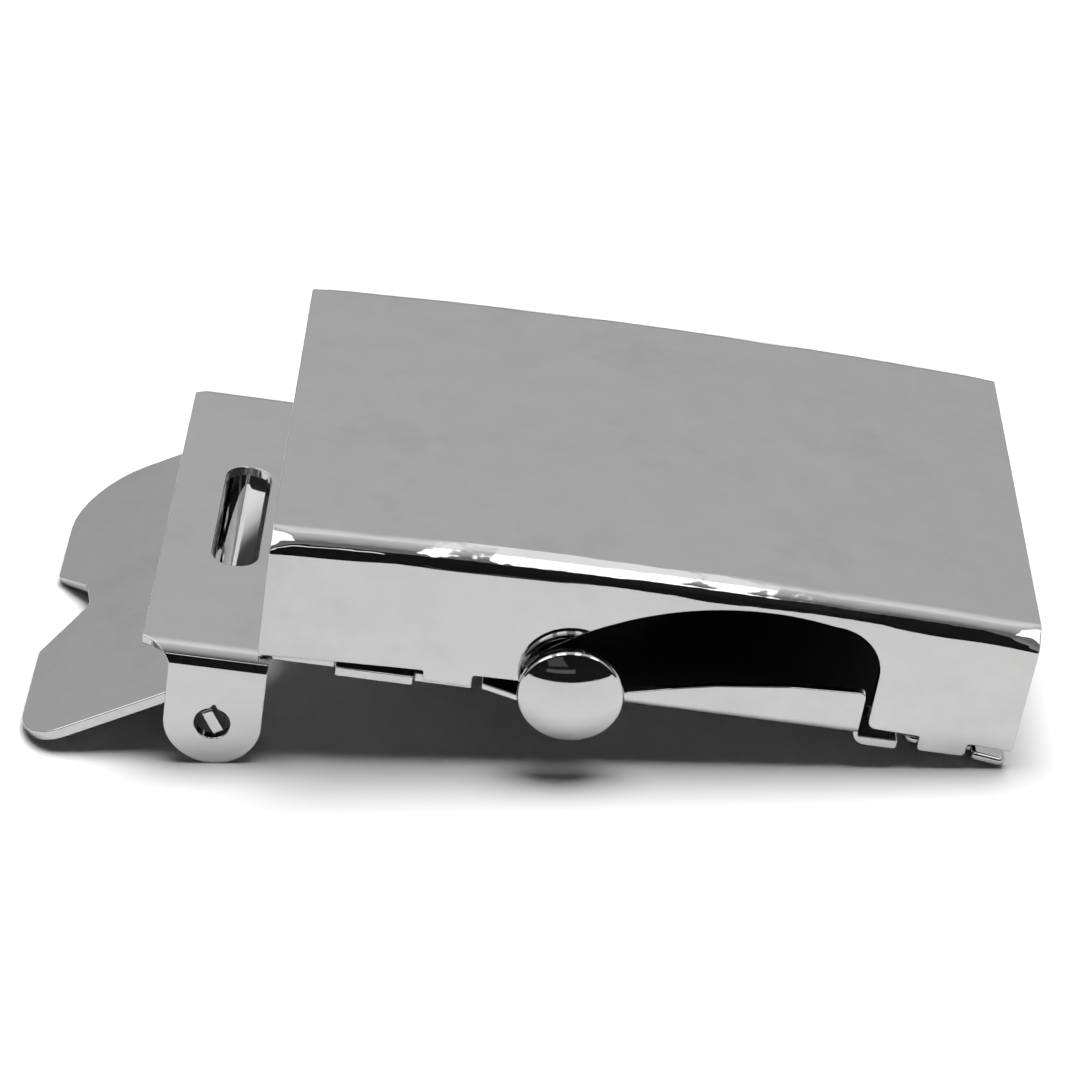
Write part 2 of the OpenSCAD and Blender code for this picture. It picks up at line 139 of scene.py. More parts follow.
class ClampSizes(PropertyGroup):
    """Sizes of the clamp plate, its ears, and the toothed lever between them"""

    left: place_along("Left edge", "Left edge of the clamp plate", -39.1)
    depth: length("Depth", "Depth of the plate's top below the face", 12.5)
    sheet: length("Sheet", "Thickness of the plate", 0.85)
    bend: length("Bend", "Outer radius of the bends into the ears", 1.6)
    rim: length("Rim", "Rounding of the cut edges", 0.11)
    slot_length: length("Slot length", "Length of the slot across the plate", 15.2)
    slot_width: length("Slot width", "Width of the slot", 3.8)
    slot_x: place_along("Slot", "Middle of the slot along the belt", -33.1)
    slot_corner: length("Slot corner", "Radius of the slot's corners", 1.75)
    foot_left: place_along("Foot left", "Left side of the wide foot", -23.9)
    foot_right: place_along("Foot right", "Right side of the wide foot", -17.6)
    foot_inset: length("Foot inset", "Distance from the foot to the wall's face", 0.1)
    foot_rise: length("Foot rise", "How far the foot's edge is pressed up", 0.3)
    tongue_right: place_along("Tongue", "Right end of the tongue inside the case", -12.9)
    tongue_gap: length("Tongue gap", "Gap between tongue and case wall", 0.12)
    hinge_x: place_along("Hinge", "Place of the clamp hinge", -32.9)
    hinge_depth: length("Hinge depth", "Depth of the clamp hinge", 19.1)
    ear_width: length("Ear width", "Width of an ear", 7.8)
    ear_drop: length("Ear drop", "From the hinge down to the ear's end", 3.9)
    ear_hole: length("Ear hole", "Radius of the holes in the ears", 1.43)
    reach: length("Reach", "From the hinge to the clamp lever's tip", 16.1)
    flap_width: length("Flap width", "Width of the clamp lever", 38.6)
    flap_sheet: length("Flap sheet", "Thickness of the clamp lever", 0.95)
    flap_rise: length("Flap rise", "From the hinge up to its upper side", 3.4)
    flap_bend: length("Flap bend", "Outer radius of its bend", 2.2)
    near_corner: length("Near corner", "Radius of its near tip corner", 4.2)
    far_corner: length("Far corner", "Radius of its far tip corner", 6.5)
    arm_foot: length("Arm foot", "Half the height of its trunnions", 1.2)
    trunnion_inset: length("Trunnion inset", "From a trunnion's end to the ear's face", 0.2)
    notch_depth: length("Notch depth", "Depth of the notch in the tip", 4)
    near_mouth: length("Near mouth", "Near side of the notch's mouth", 6.4)
    near_floor: length("Near floor", "Near side of the notch's floor", 1.5)
    far_mouth: length("Far mouth", "Far side of the notch's mouth", 5)
    far_floor: length("Far floor", "Far side of the notch's floor", 1.9)
    teeth: IntProperty(name="Teeth", description="Number of teeth", default=9, min=1, max=15)
    tooth_pitch: length("Tooth pitch", "Distance between teeth", 3.9)
    tooth_width: length("Tooth width", "Width of a tooth", 1.4)
    tooth_height: length("Tooth height", "Height of a tooth", 1)
    tooth_reach: length("Tooth reach", "From the hinge to a tooth's crest", 1.65)


class EntrySizes(PropertyGroup):
    """Sizes of the lip under the strap's way in"""

    left: place_along("Left edge", "Left edge of the lip", 21.3)
    bend_x: place_along("Bend", "Where the lip turns down", 26.95)
    right: place_along("Right edge", "Right edge of the lip", 29.75)
    slope: FloatProperty(
        name="Slope",
        description="How steeply the lip turns down",
        default=math.radians(8),
        min=0.0,
        max=1.0,
        subtype="ANGLE",
        unit="ROTATION",
    )
    rim: length("Rim", "Rounding of the lip's tumbled edges", 0.36, high=0.4)


class ReleaseSizes(PropertyGroup):
    """Sizes of the release lever, its knob, pin and spring"""

    sheet: length("Sheet", "Thickness of the lever", 0.7)
    depth: length("Depth", "Depth of the lever's upper side", 11.8)
    left: place_along("Left", "Left edge of the lever", -8)
    right: place_along("Right", "Right edge of the lever", 17.6)
    stop_right: place_along("Stop right", "Right edge of the plate and its stop tab", 20.85)
    far: length("Far edge", "Far edge of the lever, across the belt", 18.4)
    bend: length("Bend", "Outer radius of the bend into the near flange", 1)
    rim: length("Rim", "Rounding of the cut edges", 0.09)
    pawl_root: place_along("Pawl root", "Where the pawl leaves the lever", 3.6)
    pawl_tip: place_along("Pawl tip", "Where the pawl's edge stands", -2.4)
    pawl_rise: length("Pawl rise", "Height of the pawl's edge", 5.4)
    pawl_width: length("Pawl width", "Width of the pawl", 14)
    knob_x: place_along("Knob", "Place of the knob along the belt", -5.45)
    knob_depth: length("Knob depth", "Depth of the knob's middle", 10.9)
    knob_diameter: length("Knob diameter", "Diameter of the knob", 8.4)
    knob_length: length("Knob length", "Length of the knob's side", 1)
    knob_dome: length("Knob dome", "Height of the knob's dome", 0.95)
    knob_rim: length("Knob rim", "Rounding of the knob's front rim", 0.38)
    knob_back: length("Knob back", "Rounding of the knob's back rim", 0.5)
    knob_gap: length("Knob gap", "From the case wall to the knob", 0.8)
    stem_radius: length("Stem", "Radius of the knob's stem", 1.4)
    pin_y: length("Pin across", "Place of the hinge pin across the belt", 17.6)
    pin_depth: length("Pin depth", "Depth of the hinge pin", 10.3)
    pin_left: place_along("Pin left", "Left end of the hinge pin", -14.4)
    pin_right: place_along("Pin right", "Right end of the hinge pin", 22.8)
    pin_diameter: length("Pin diameter", "Diameter of the hinge pin", 1.6)
    knuckle_radius: length("Knuckle", "Outer radius of the rolled knuckles", 1.6)
    knuckle_length: length("Knuckle length", "Length of a rolled knuckle", 5)
    first_knuckle: place_along("First knuckle", "Left end of the left knuckle", -8.5)
    second_knuckle: place_along("Second knuckle", "Left end of the right knuckle", 11.8)
    ear_sheet: length("Pin ear", "Thickness of the ears that hold the pin", 0.8)
    coil_left: place_along("Coil left", "Left end of the spring's coil", -2)
    coil_length: length("Coil length", "Length of the spring's coil", 7.5)
    coil_radius: length("Coil radius", "Radius of the coil's middle line", 1.15)
    coil_turns: IntProperty(name="Turns", description="Turns of the coil", default=15, min=2)
    wire_radius: length("Wire", "Radius of the spring's wire", 0.24)
    leg_in: length("Inner leg", "Length of the leg on the lever", 6.5)
    leg_up: length("Upright leg", "Length of the leg on the far wall", 4.2)


class Finishes(PropertyGroup):
    """Colours and wear of the plated and plain metals"""

    plating: colour("Plating", "Bright plating on the outside", 0.53, (1.0, 0.998, 0.994))
    worn: colour("Worn edge", "Plating rubbed thin on the edges", 0.46)
    # The inside colour is nearly black: painted shade on the inner sides of the case and the
    # lever, where the hollow lies in shade; that plating is also dull
    inside: colour("Inside", "Thin dull plating on the inner sides", 0.08, (1.0, 0.99, 0.97))
    steel: colour("Steel", "Plain steel of pin and spring", 0.42, (1.0, 0.985, 0.96))
    gloss: share("Roughness", "Roughness of the bright plating", 0.045)
    scratches: share("Scratches", "Strength of the fine scratches", 0.6)
    waves: length("Waves", "Depth of the faint waves in the sheet", 0.0035)
    peel: length("Peel", "Depth of the plating's fine unevenness", 0.0004)
    creases: length("Creases", "Depth of the unevenness along the bends", 0.04)


class Studio(PropertyGroup):
    """Floor, light and camera"""

    floor: colour("Floor", "Colour of the paper floor", 0.7)
    surround: share("Surround", "Brightness of the surround", 1.14, 10.0)
    key: share("Key", "Power of the overhead light in watts", 7.1, 100.0)
    focal: FloatProperty(
        name="Focal length",
        description="Focal length of the camera",
        default=108.33,
        min=20.0,
        max=300.0,
        subtype="DISTANCE_CAMERA",
        unit="CAMERA",
    )


def linked(name, data):
    """A new object in the scene."""
    thing = bpy.data.objects.new(name, data)
    bpy.context.scene.collection.objects.link(thing)
    return thing


# Outlines

def rounded(corners, steps=5):
    """Closed outline of (x, y, outward x, outward y) from corners of (x, y, radius).

    The outline runs anticlockwise round material and clockwise round a hole, so that
    outward is always on its right."""
    outline = []
    for i, (x, y, radius) in enumerate(corners):
        corner = Vector((x, y))
        before = (corner - Vector(corners[i - 1][:2])).normalized()
        after = (Vector(corners[(i + 1) % len(corners)][:2]) - corner).normalized()
        turn = math.atan2(before.cross(after), before.dot(after))
        if radius == 0 or abs(turn) < STRAIGHT:
            along = (before + after).normalized()
            outline.append((x, y, along.y, -along.x))
            continue
        side = math.copysign(1, turn)
        start = corner - before * radius * math.tan(abs(turn) / 2)
        centre = start + Vector((-before.y, before.x)) * radius * side
        count = max(2, math.ceil(steps * abs(turn) / QUARTER))
        for k in range(count + 1):
            arm = (start - centre).copy()
            arm.rotate(Matrix.Rotation(turn * k / count, 2))
            spot, out = centre + arm, arm / radius * side
            outline.append((spot.x, spot.y, out.x, out.y))
    return outline


def arc(x, y, radius, start, end, steps):
    """Corners without rounding on an arc, from a start to an end angle in degrees."""
    angles = [math.radians(start + (end - start) * k / steps) for k in range(steps + 1)]
    return [(x + radius * math.cos(a), y + radius * math.sin(a), 0) for a in angles]


def mirrored(corners):
    """The same corners on the far side, in the order that keeps the outline's sense."""
    return [(x, -y, radius) for x, y, radius in reversed(corners)]


# Closed shells

def carried(place, spot, normal):
    """A surface's normal after a placing that also stretches the blank."""
    x, y, z = (place(spot + Vector(axis) * PROBE) - place(spot - Vector(axis) * PROBE)
               for axis in ((1, 0, 0), (0, 1, 0), (0, 0, 1)))
    return (y.cross(z) * normal.x + z.cross(x) * normal.y + x.cross(y) * normal.z).normalized()


class Draft:
    """A closed surface in the making, with its outward directions and its marks."""

    def __init__(self):
        self.bm = bmesh.new()
        layers = self.bm.verts.layers
        self.out = layers.float_vector.new("out")
        self.worn = layers.float.new("worn")
        self.bent = layers.float.new("bent")

    def edge(self, loop, thickness, rim):
        """Rings of points round a cut edge, from the blank's upper side to its lower side."""
        stack = []
        for level in range(2 * RIM_STEPS + 2):
            upper = level <= RIM_STEPS
            step = level if upper else 2 * RIM_STEPS + 1 - level
            angle = QUARTER * step / RIM_STEPS
            c, s = math.cos(angle), math.sin(angle)
            inset, drop = rim * (1 - s), rim * (1 - c)
            ring = []
            for x, y, out_x, out_y in loop:
                height = -drop if upper else drop - thickness
                vert = self.bm.verts.new((x - out_x * inset, y - out_y * inset, height))
                vert[self.out] = (out_x * s, out_y * s, c if upper else -c)
                vert[self.worn] = s
                ring.append(vert)
            stack.append(ring)
        for above, below in zip(stack, stack[1:]):
            for i in range(len(above)):
                self.bm.faces.new((above[i - 1], below[i - 1], below[i], above[i]))
        return stack

    def sides(self, stacks, under):
        """The blank's upper and lower side, each filled between its outline and its holes."""
        for level, finish in ((0, SHINY), (-1, under)):
            rings = [stack[level] for stack in stacks]
            verts = [vert for ring in rings for vert in ring]
            for corners in tessellate_polygon([[v.co for v in ring] for ring in rings]):
                face = self.bm.faces.new([verts[i] for i in corners])
                face.material_index = finish

    def cut(self, cuts):
        """Cuts the flat blank across at each (spot, normal), so that it can bend there."""
        for spot, normal in cuts:
            geometry = self.bm.verts[:] + self.bm.edges[:] + self.bm.faces[:]
            bmesh.ops.bisect_plane(
                self.bm, geom=geometry, dist=TOUCHING, plane_co=spot, plane_no=normal
            )
        bmesh.ops.dissolve_degenerate(self.bm, dist=TOUCHING, edges=self.bm.edges[:])

    def bend(self, place, stretches):
        """Takes each point to its place, and turns its outward direction with it."""
        up = Vector((0, 0, PROBE))
        flat = (place(up) - place(Vector())).normalized()
        for vert in self.bm.verts:
            blank, normal = vert.co.copy(), vert[self.out].normalized()
            spot = place(blank)
            vert.co = spot
            if stretches:
                lean = (place(blank + up) - spot).normalized().dot(flat)
                vert[self.bent] = abs(2 * lean) * math.sqrt(max(0, 1 - lean * lean))
                vert[self.out] = carried(place, blank, normal)
            else:
                vert[self.out] = (place(blank + normal * PROBE) - spot).normalized()


class Shell:
    """Closed surfaces that make one piece, with exact normals and marks of wear and bends."""

    def __init__(self):
        self.points, self.normals, self.worn, self.bent = [], [], [], []
        self.faces, self.finishes = [], []

    def sheet(self, loops, thickness, rim, place, cuts=(), under=SHINY, stretches=False):
        """A flat blank between height 0 and -thickness that place() bends into its place."""
        draft = Draft()
        draft.sides([draft.edge(loop, thickness, rim) for loop in loops], under)
        draft.cut(cuts)
        draft.bend(place, stretches)
        self.take(draft)

    def turned(self, profile, place, steps, closed=False):
        """A turned piece from (along, radius, out along, out radius) round the local X axis."""
        draft = Draft()
        rings = []
        for along, radius, out_along, out_radius in profile:
            pole = radius < TOUCHING
            ring = []
            for k in range(1 if pole else steps):
                angle = 2 * math.pi * k / steps
                c, s = math.cos(angle), math.sin(angle)
                blank = Vector((along, radius * c, radius * s))
                tip = Vector((out_along, out_radius * c, out_radius * s)).normalized()
                if pole:
                    tip = Vector((math.copysign(1, out_along), 0, 0))
                vert = draft.bm.verts.new(place(blank))
                vert[draft.out] = (place(blank + tip * PROBE) - vert.co).normalized()
                ring.append(vert)
            rings.append(ring * (steps if pole else 1))
        pairs = list(zip(rings, rings[1:] + rings[:1]))
        for ahead, behind in pairs if closed else pairs[:-1]:
            for i in range(steps):
                corners = [ahead[i - 1], behind[i - 1], behind[i], ahead[i]]
                draft.bm.faces.new(list(dict.fromkeys(corners)))
        self.take(draft)

    def take(self, draft):
        """Adds a finished draft, facing outwards, and frees it."""
        bm = draft.bm
        bmesh.ops.recalc_face_normals(bm, faces=bm.faces[:])
        if bm.calc_volume(signed=True) < 0:
            bmesh.ops.reverse_faces(bm, faces=bm.faces[:])
        first = len(self.points)
        bm.verts.index_update()
        for vert in bm.verts:
            self.points.append(vert.co.copy())
            self.normals.append(Vector(vert[draft.out]))
            self.worn.append(vert[draft.worn])
            self.bent.append(vert[draft.bent])
        for face in bm.faces:
            self.faces.append([first + vert.index for vert in face.verts])
            self.finishes.append(face.material_index)
        bm.free()

    def piece(self, name, materials):
        """The finished object, at the origin, with its place in its mesh."""
        mesh = bpy.data.meshes.new(name)
        mesh.from_pydata(self.points, [], self.faces)
        for material in materials:
            mesh.materials.append(material)
        mesh.polygons.foreach_set("material_index", self.finishes)
        mesh.polygons.foreach_set("use_smooth", [True] * len(self.faces))
        for mark, values in (("worn", self.worn), ("bent", self.bent)):
            mesh.attributes.new(mark, "FLOAT", "POINT").data.foreach_set("value", values)
        mesh.update()
        mesh.normals_split_custom_set_from_vertices(self.normals)
        return linked(name, mesh)


# Bends

def lines_at(axis, places):
    """Cuts across a flat blank at places on one of its axes."""
    normal = Vector((1, 0, 0)) if axis == "x" else Vector((0, 1, 0))
    return [(normal * spot, normal) for spot in places]


def both_sides(places):
    """Places across the belt, and the same ones on the other side of its middle."""
    return places + [-place for place in places]


def fold_places(start, radius):
    """Places of the cuts that let a blank bend by a quarter turn from a start on."""
    return [start + radius * QUARTER * k / BEND_CUTS for k in range(BEND_CUTS + 1)]


def channel(across, depth, half_width, bend):
    """(y, z) of a point of a channel: across runs over the face, the bends and the walls."""
    side = math.copysign(1, across)
    flat = half_width - bend
    run = abs(across) - flat
    if run <= 0:
        return across, -depth
    angle = run / bend
    if angle < QUARTER:
        arm = bend - depth
        return side * (flat + arm * math.sin(angle)), arm * math.cos(angle) - bend
    return side * (half_width - depth), -bend - (run - bend * QUARTER)


def wall_across(height, half_width, bend):
    """How far across the blank a point of the wall lies that is height below the face."""
    return half_width - bend + bend * QUARTER + height - bend


def tongue_edge(case, clamp):
    """How far across the belt a tongue reaches between the case's walls."""
    return case.width / 2 - case.sheet - clamp.tongue_gap


def foot_edge(case, clamp):
    """How far across the belt a wide foot reaches under the case's walls."""
    return case.width / 2 - clamp.foot_inset


def ear_round_depth(clamp):
    """Depth of the middle of the ears' round ends."""
    return clamp.hinge_depth + clamp.ear_drop - clamp.ear_width / 2


def resting(scene):
    """Lays the buckle's own frame on the surface, on its ears, clamp lever and entry lip."""
    case, clamp, entry = scene.buckle_case, scene.buckle_clamp, scene.buckle_entry
    release = scene.buckle_release
    ear_r = clamp.ear_width / 2
    lip_depth = (
        clamp.depth
        + (entry.right - entry.bend_x) * math.tan(entry.slope)
        + clamp.sheet / math.cos(entry.slope)
    )
    span = Vector((entry.right - clamp.hinge_x, ear_round_depth(clamp) - lip_depth))
    tilt = math.asin(ear_r / span.length) + math.atan(span.y / span.x)
    c, s = math.cos(tilt), math.sin(tilt)
    lift = clamp.hinge_x * s + ear_round_depth(clamp) * c + ear_r
    hinge_height = lift - clamp.hinge_x * s - clamp.hinge_depth * c
    under = clamp.flap_rise - clamp.flap_sheet
    fall = math.asin(hinge_height / math.hypot(clamp.reach, under))
    fall += math.atan(under / clamp.reach)
    left = clamp.hinge_x * c - clamp.hinge_depth * s
    left -= clamp.reach * math.cos(fall) + clamp.flap_rise * math.sin(fall)
    end_drop = case.bow - math.sqrt(case.bow**2 - case.length**2 / 4)
    right = case.length / 2 * c - end_drop * s
    knob_reach = release.knob_gap + release.knob_length + release.knob_dome
    shift = Vector((-(left + right) / 2, knob_reach / 2, lift))
    rest = Matrix.Translation(shift) @ Matrix.Rotation(tilt, 4, "Y")
    hinge = Matrix.Translation((clamp.hinge_x, 0, -clamp.hinge_depth))
    turn = Matrix.Rotation(math.pi, 4, "Z") @ Matrix.Rotation(fall + tilt, 4, "Y")
    return rest, rest @ hinge @ turn


def standing(matrix, far):
    """Stands a blank up on its edge, with its upper side on the far side."""

    def place(p):
        return matrix @ Vector((p.x, far + p.z, p.y))

    return place


# Shader recipes

class Number:
    """A number socket on which plain arithmetic adds Math nodes."""

    def __init__(self, recipe, socket):
        self.recipe, self.socket = recipe, socket

    def math(self, operation, *values):
        """The number that a Math node gives for this one and others."""
        return self.recipe.math(operation, self, *values)

    def __add__(self, other):
        return self.recipe.math("ADD", self, other)

    def __sub__(self, other):
        return self.recipe.math("SUBTRACT", self, other)

    def __mul__(self, other):
        return self.recipe.math("MULTIPLY", self, other)

    def __truediv__(self, other):
        return self.recipe.math("DIVIDE", self, other)

    def __rsub__(self, other):
        return self.recipe.math("SUBTRACT", other, self)

    __radd__ = __add__
    __rmul__ = __mul__


class Recipe:
    """Adds nodes to one node tree."""

    def __init__(self, tree):
        self.tree = tree
        tree.nodes.clear()

    def node(self, kind, settings=None, **sockets):
        """A node of that type: its settings first, then the values or links of its sockets."""
        node = self.tree.nodes.new(kind)
        for key, value in (settings or {}).items():
            if key == "stops":
                self.set_stops(node.color_ramp, value)
            else:
                setattr(node, key, value)
        for key, value in sockets.items():
            socket = self.find(node, key)
            if isinstance(value, Number):
                value = value.socket
            if isinstance(value, bpy.types.NodeSocket):
                self.tree.links.new(value, socket)
            else:
                socket.default_value = value
        return node

    def find(self, node, key):
        """The enabled input whose name, or place after an underscore, is the key."""
        if key[0] == "_":
            return node.inputs[int(key[1:])]
        name = key.replace("_", " ")
        return next(s for s in node.inputs if s.enabled and s.name.lower() == name.lower())

    def set_stops(self, ramp, stops):
        """Gives a colour ramp its grey stops of (place, brightness)."""
        while len(ramp.elements) > 1:
            ramp.elements.remove(ramp.elements[-1])
        for i, (spot, grey) in enumerate(stops):
            stop = ramp.elements[0] if i == 0 else ramp.elements.new(spot)
            stop.position = spot
            stop.color = (grey, grey, grey, 1)

    def math(self, operation, *values):
        """The number that a Math node gives for numbers or sockets."""
        sockets = {f"_{i}": value for i, value in enumerate(values)}
        node = self.node("ShaderNodeMath", {"operation": operation}, **sockets)
        return Number(self, node.outputs[0])

    def between(self, value, low, high, to_low=0.0, to_high=1.0):
        """A smooth step of the value, from to_low at low up to to_high at high."""
        node = self.node(
            "ShaderNodeMapRange",
            {"interpolation_type": "SMOOTHSTEP"},
            Value=value,
            From_Min=low,
            From_Max=high,
            To_Min=to_low,
            To_Max=to_high,
        )
        return Number(self, node.outputs[0])

    def noise(self, vector, scale, detail=2.0, roughness=0.5):
        """Cloudy noise between nought and one."""
        node = self.node(
            "ShaderNodeTexNoise",
            {"noise_dimensions": "3D"},
            Vector=vector,
            Scale=scale,
            Detail=detail,
            Roughness=roughness,
        )
        return Number(self, node.outputs["Fac"])

    def mark(self, name):
        """One of a piece's own marks, of wear or of its bends."""
        node = self.node("ShaderNodeAttribute", {"attribute_name": name})
        return Number(self, node.outputs["Fac"])

    def blend(self, factor, first, second):
        """A colour between two others."""
        node = self.node(
            "ShaderNodeMix", {"data_type": "RGBA"}, _0=factor, _6=first, _7=second
        )
        return node.outputs[2]

    def streaks(self, vector, turn, along, across):
        """Noise drawn out into long thin streaks in one direction."""
        mapping = self.node(
            "ShaderNodeMapping", Vector=vector, Rotation=turn, Scale=(along, across, across)
        )
        return self.noise(mapping.outputs[0], scale=1.0, roughness=0.6)


def rgba(shade, part=1):
    """A socket's colour, from a shade that is brought down to a part of its brightness."""
    return (*(level * part for level in shade), 1.0)


def new_material(name):
    """An empty material, and the recipe that fills it."""
    material = bpy.data.materials.new(name)
    material.use_nodes = True
    return material, Recipe(material.node_tree)


def metal(name, base, worn, roughness, finish, dull=0.0):
    """A plated metal with cloudy polish, fine scratches, faint waves and rubbed rims."""
    material, recipe = new_material(name)
    spot = recipe.node("ShaderNodeTexCoord").outputs["Object"]
    clouds = recipe.noise(spot, scale=300, detail=3.0, roughness=0.6)
    smears = recipe.between(recipe.noise(spot, scale=75, detail=4.0, roughness=0.65), 0.5, 0.72)
    waves = recipe.noise(spot, scale=105, detail=1.0, roughness=0.4)
    peel = recipe.noise(spot, scale=900)
    lines = recipe.streaks(spot, (0.2, 0.3, 0.45), along=90, across=5200)
    cross = recipe.streaks(spot, (0.6, -0.4, -0.9), along=120, across=6100)
    scratch = recipe.between(lines, 0.66, 0.74).math("MAXIMUM", recipe.between(cross, 0.68, 0.75))
    rim, bend = recipe.mark("worn"), recipe.mark("bent")
    face_tilt = 0.147
    ripples = recipe.streaks(spot, (0, face_tilt, 0), along=260, across=800)
    lumps = recipe.noise(spot, scale=128, detail=1.0, roughness=0.4)
    creases = (ripples - 0.5) + (lumps - 0.5) * 6
    patches = recipe.noise(spot, scale=700, detail=3.0, roughness=0.7)
    rubbed = rim * recipe.between(patches, 0.38, 0.62)
    shade = recipe.blend(clouds * 0.7 + smears * 0.3, rgba(base), rgba(base, 0.85))
    shade = recipe.blend(rubbed * 0.7, shade, rgba(worn))
    grain = recipe.noise(spot, scale=2600, roughness=0.6)
    cloud_rough, smear_rough, scratch_rough, rubbed_rough = 0.03, 0.03, 0.12, 0.08
    grain_rough = 0.02 + dull * 0.2
    rough = (clouds * cloud_rough + smears * smear_rough
             + scratch * scratch_rough * finish.scratches + rubbed * rubbed_rough
             + grain * grain_rough + (roughness - 0.03))
    grain_depth, scratch_depth = 0.0012 * MM * dull, 0.0005 * MM * finish.scratches
    peel_depth, wave_depth = finish.peel * (1 + 6 * dull), finish.waves * (1 + dull)
    height = (waves * wave_depth + peel * peel_depth + grain * grain_depth
              - scratch * scratch_depth
              + recipe.between(bend, 0.05, 0.6) * creases * finish.creases)
    bump = recipe.node("ShaderNodeBump", Strength=1.0, Distance=1.0, Height=height)
    shader = recipe.node(
        "ShaderNodeBsdfPrincipled",
        Base_Color=shade,
        Metallic=1.0,
        Roughness=rough,
        Normal=bump.outputs[0],
    )
    recipe.node("ShaderNodeOutputMaterial", Surface=shader.outputs[0])
    return material


def finish_of(key):
    """One of the object's finishes, made the first time that it is asked for."""
    if key in bpy.data.materials:
        return bpy.data.materials[key]
    finish = bpy.context.scene.buckle_finishes
    gloss = finish.gloss
    recipes = {
        "bright_plating": (finish.plating, finish.worn, gloss, 0.0),
        "knob_plating": (finish.plating, finish.worn, gloss * 0.8, 0.0),
        # The finish of the inner sides: dull plating whose nearly black colour is painted shade
        "dull_shaded_inside": (finish.inside, finish.plating, 0.34, 1.0),
        "drawn_steel": (finish.steel, finish.worn, 0.24, 0.5),
    }
    base, worn, roughness, dull = recipes[key]
    return metal(key, list(base), list(worn), roughness, finish, dull)


def settle(thing, body, slot, *nodes):
    """Lets a piece ride on its body and stand for its CAD nodes, which it hides; its slot is not
    used.
    """
    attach(thing, body)
    if nodes:
        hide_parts(*nodes)


# Pieces

def wall_corners(case, windowed):
    """Foot of one wall from left to right, on the blank, with its lugs and any window."""
    half, bow = case.width / 2, case.bow

    def spot(x, depth, radius=0.0):
        reach = math.hypot(x, bow - depth)
        along = bow * math.atan2(x, bow - depth)
        return (along, -wall_across(bow - reach, half, case.bend), radius)

    def foot(x, radius):
        return spot(x, bow - math.sqrt((bow - case.wall) ** 2 - x * x), radius)

    def lug(x, tip):
        left, right = x - case.lug_width / 2, x + case.lug_width / 2
        return [foot(left, TIGHT), spot(left, tip, SOFT), spot(right, tip, SOFT),
                foot(right, TIGHT)]

    def window():
        r, corner_r, shoulder_r = case.arch_radius, case.window_corner, 0.5 * MM
        corner_x = case.window_right - corner_r
        start, end = (math.degrees(math.acos((x - case.arch_x) / r))
                      for x in (case.window_left, corner_x))
        over = arc(case.arch_x, -case.arch_top - r, r, start, end, steps=36)
        corner = arc(corner_x, over[-1][1] - corner_r, corner_r, 90, 0, steps=12)
        upper = [spot(x, -y) for x, y, _ in over[1:] + corner[1:]]
        first = spot(over[0][0], -over[0][1], shoulder_r)
        return [foot(case.window_left, EASED), first, *upper,
                foot(case.window_right, case.window_flare)]

    end, end_r = case.length / 2, 0.35 * MM
    return [
        foot(-end, end_r),
        *lug(case.lug_left, case.lug_left_depth),
        *(window() if windowed else []),
        *lug(case.lug_right, case.lug_right_depth),
        foot(end, end_r),
    ]


def case_end(case, steps=3):
    """Right end of the blank from the near wall to the far wall, kept in one plane."""
    half, bend, bow = case.width / 2, case.bend, case.bow
    points = []
    for k in range(steps + 1):
        angle = QUARTER * k / steps
        depth = bend * (1 - math.cos(angle))
        along = bow * math.asin(case.length / 2 / (bow - depth))
        points.append((along, half - bend + bend * angle, 0))
    return mirrored(points) + points


def case_place(case, rest):
    """Bends the case's blank: walls down, length to the bow, and the bends' soft ends in."""
    half, end, soft = case.width / 2, case.length / 2, case.soft_end

    def place(p):
        y, z = channel(p.y, -p.z, half, case.bend)
        run = (abs(p.y) - half + case.bend) / (case.bend * QUARTER)
        reach = max(0, (abs(p.x) - end + soft) / soft)
        if 0 < run < 1 and reach > 0:
            sink = case.soft_corner * math.sin(math.pi * run) ** 2 * reach**1.5
            y -= math.copysign(sink, y) * math.sin(run * QUARTER)
            z -= sink * math.cos(run * QUARTER)
        angle, arm = p.x / case.bow, case.bow + z
        return rest @ Vector((arm * math.sin(angle), y, arm * math.cos(angle) - case.bow))

    return place


class BUCKLE_OT_case(Operator):
    """Makes the bowed case with its finger window and lugs"""

    bl_idname = "buckle.case"
    bl_label = "Case"

    def execute(self, context):
        case = context.scene.buckle_case
        rest, _ = resting(context.scene)
        near, far = wall_corners(case, True), wall_corners(case, False)
        right = case_end(case)
        left = [(-x, -y, r) for x, y, r in right]
        outline = rounded(near + right + mirrored(far) + left)
        folds = fold_places(case.width / 2 - case.bend, case.bend)
        bow_cuts, end_cuts = 24, 7
        bows = [case.length * (k / bow_cuts - 0.5) for k in range(1, bow_cuts)]
        for k in range(end_cuts):
            bows += both_sides([case.length / 2 - case.soft_end * k / end_cuts])
        cuts = lines_at("y", both_sides(folds)) + lines_at("x", bows)
        shell = Shell()
        # The case's inner side takes the dull finish that is painted nearly black as painted
        # shade
        shell.sheet([outline], case.sheet, case.rim, case_place(case, rest), cuts,
                    under=DULL_SHADED, stretches=True)
        finishes = [finish_of("bright_plating"), finish_of("dull_shaded_inside")]
        settle(shell.piece("case_shell", finishes), "frame", "case", "case")
        return {"FINISHED"}


def pin_ear(shell, scene, rest, left):
    """Upturned ear that holds one end of the hinge pin."""
    clamp, release = scene.buckle_clamp, scene.buckle_release
    r, sunk, clearance = release.knuckle_radius, 0.2 * MM, 0.02 * MM
    y, z = release.pin_y, -release.pin_depth
    foot = -clamp.depth - sunk
    body = [(y - r, foot, 0), (y + r, foot, 0), *arc(y, z, r, 0, 180, steps=16)]
    bore = arc(y, z, release.pin_diameter / 2 + clearance, 360, 15, steps=23)

    def place(p):
        return rest @ Vector((left + release.ear_sheet + p.z, p.x, p.y))

    shell.sheet([rounded(body), rounded(bore)], release.ear_sheet, release.rim, place)


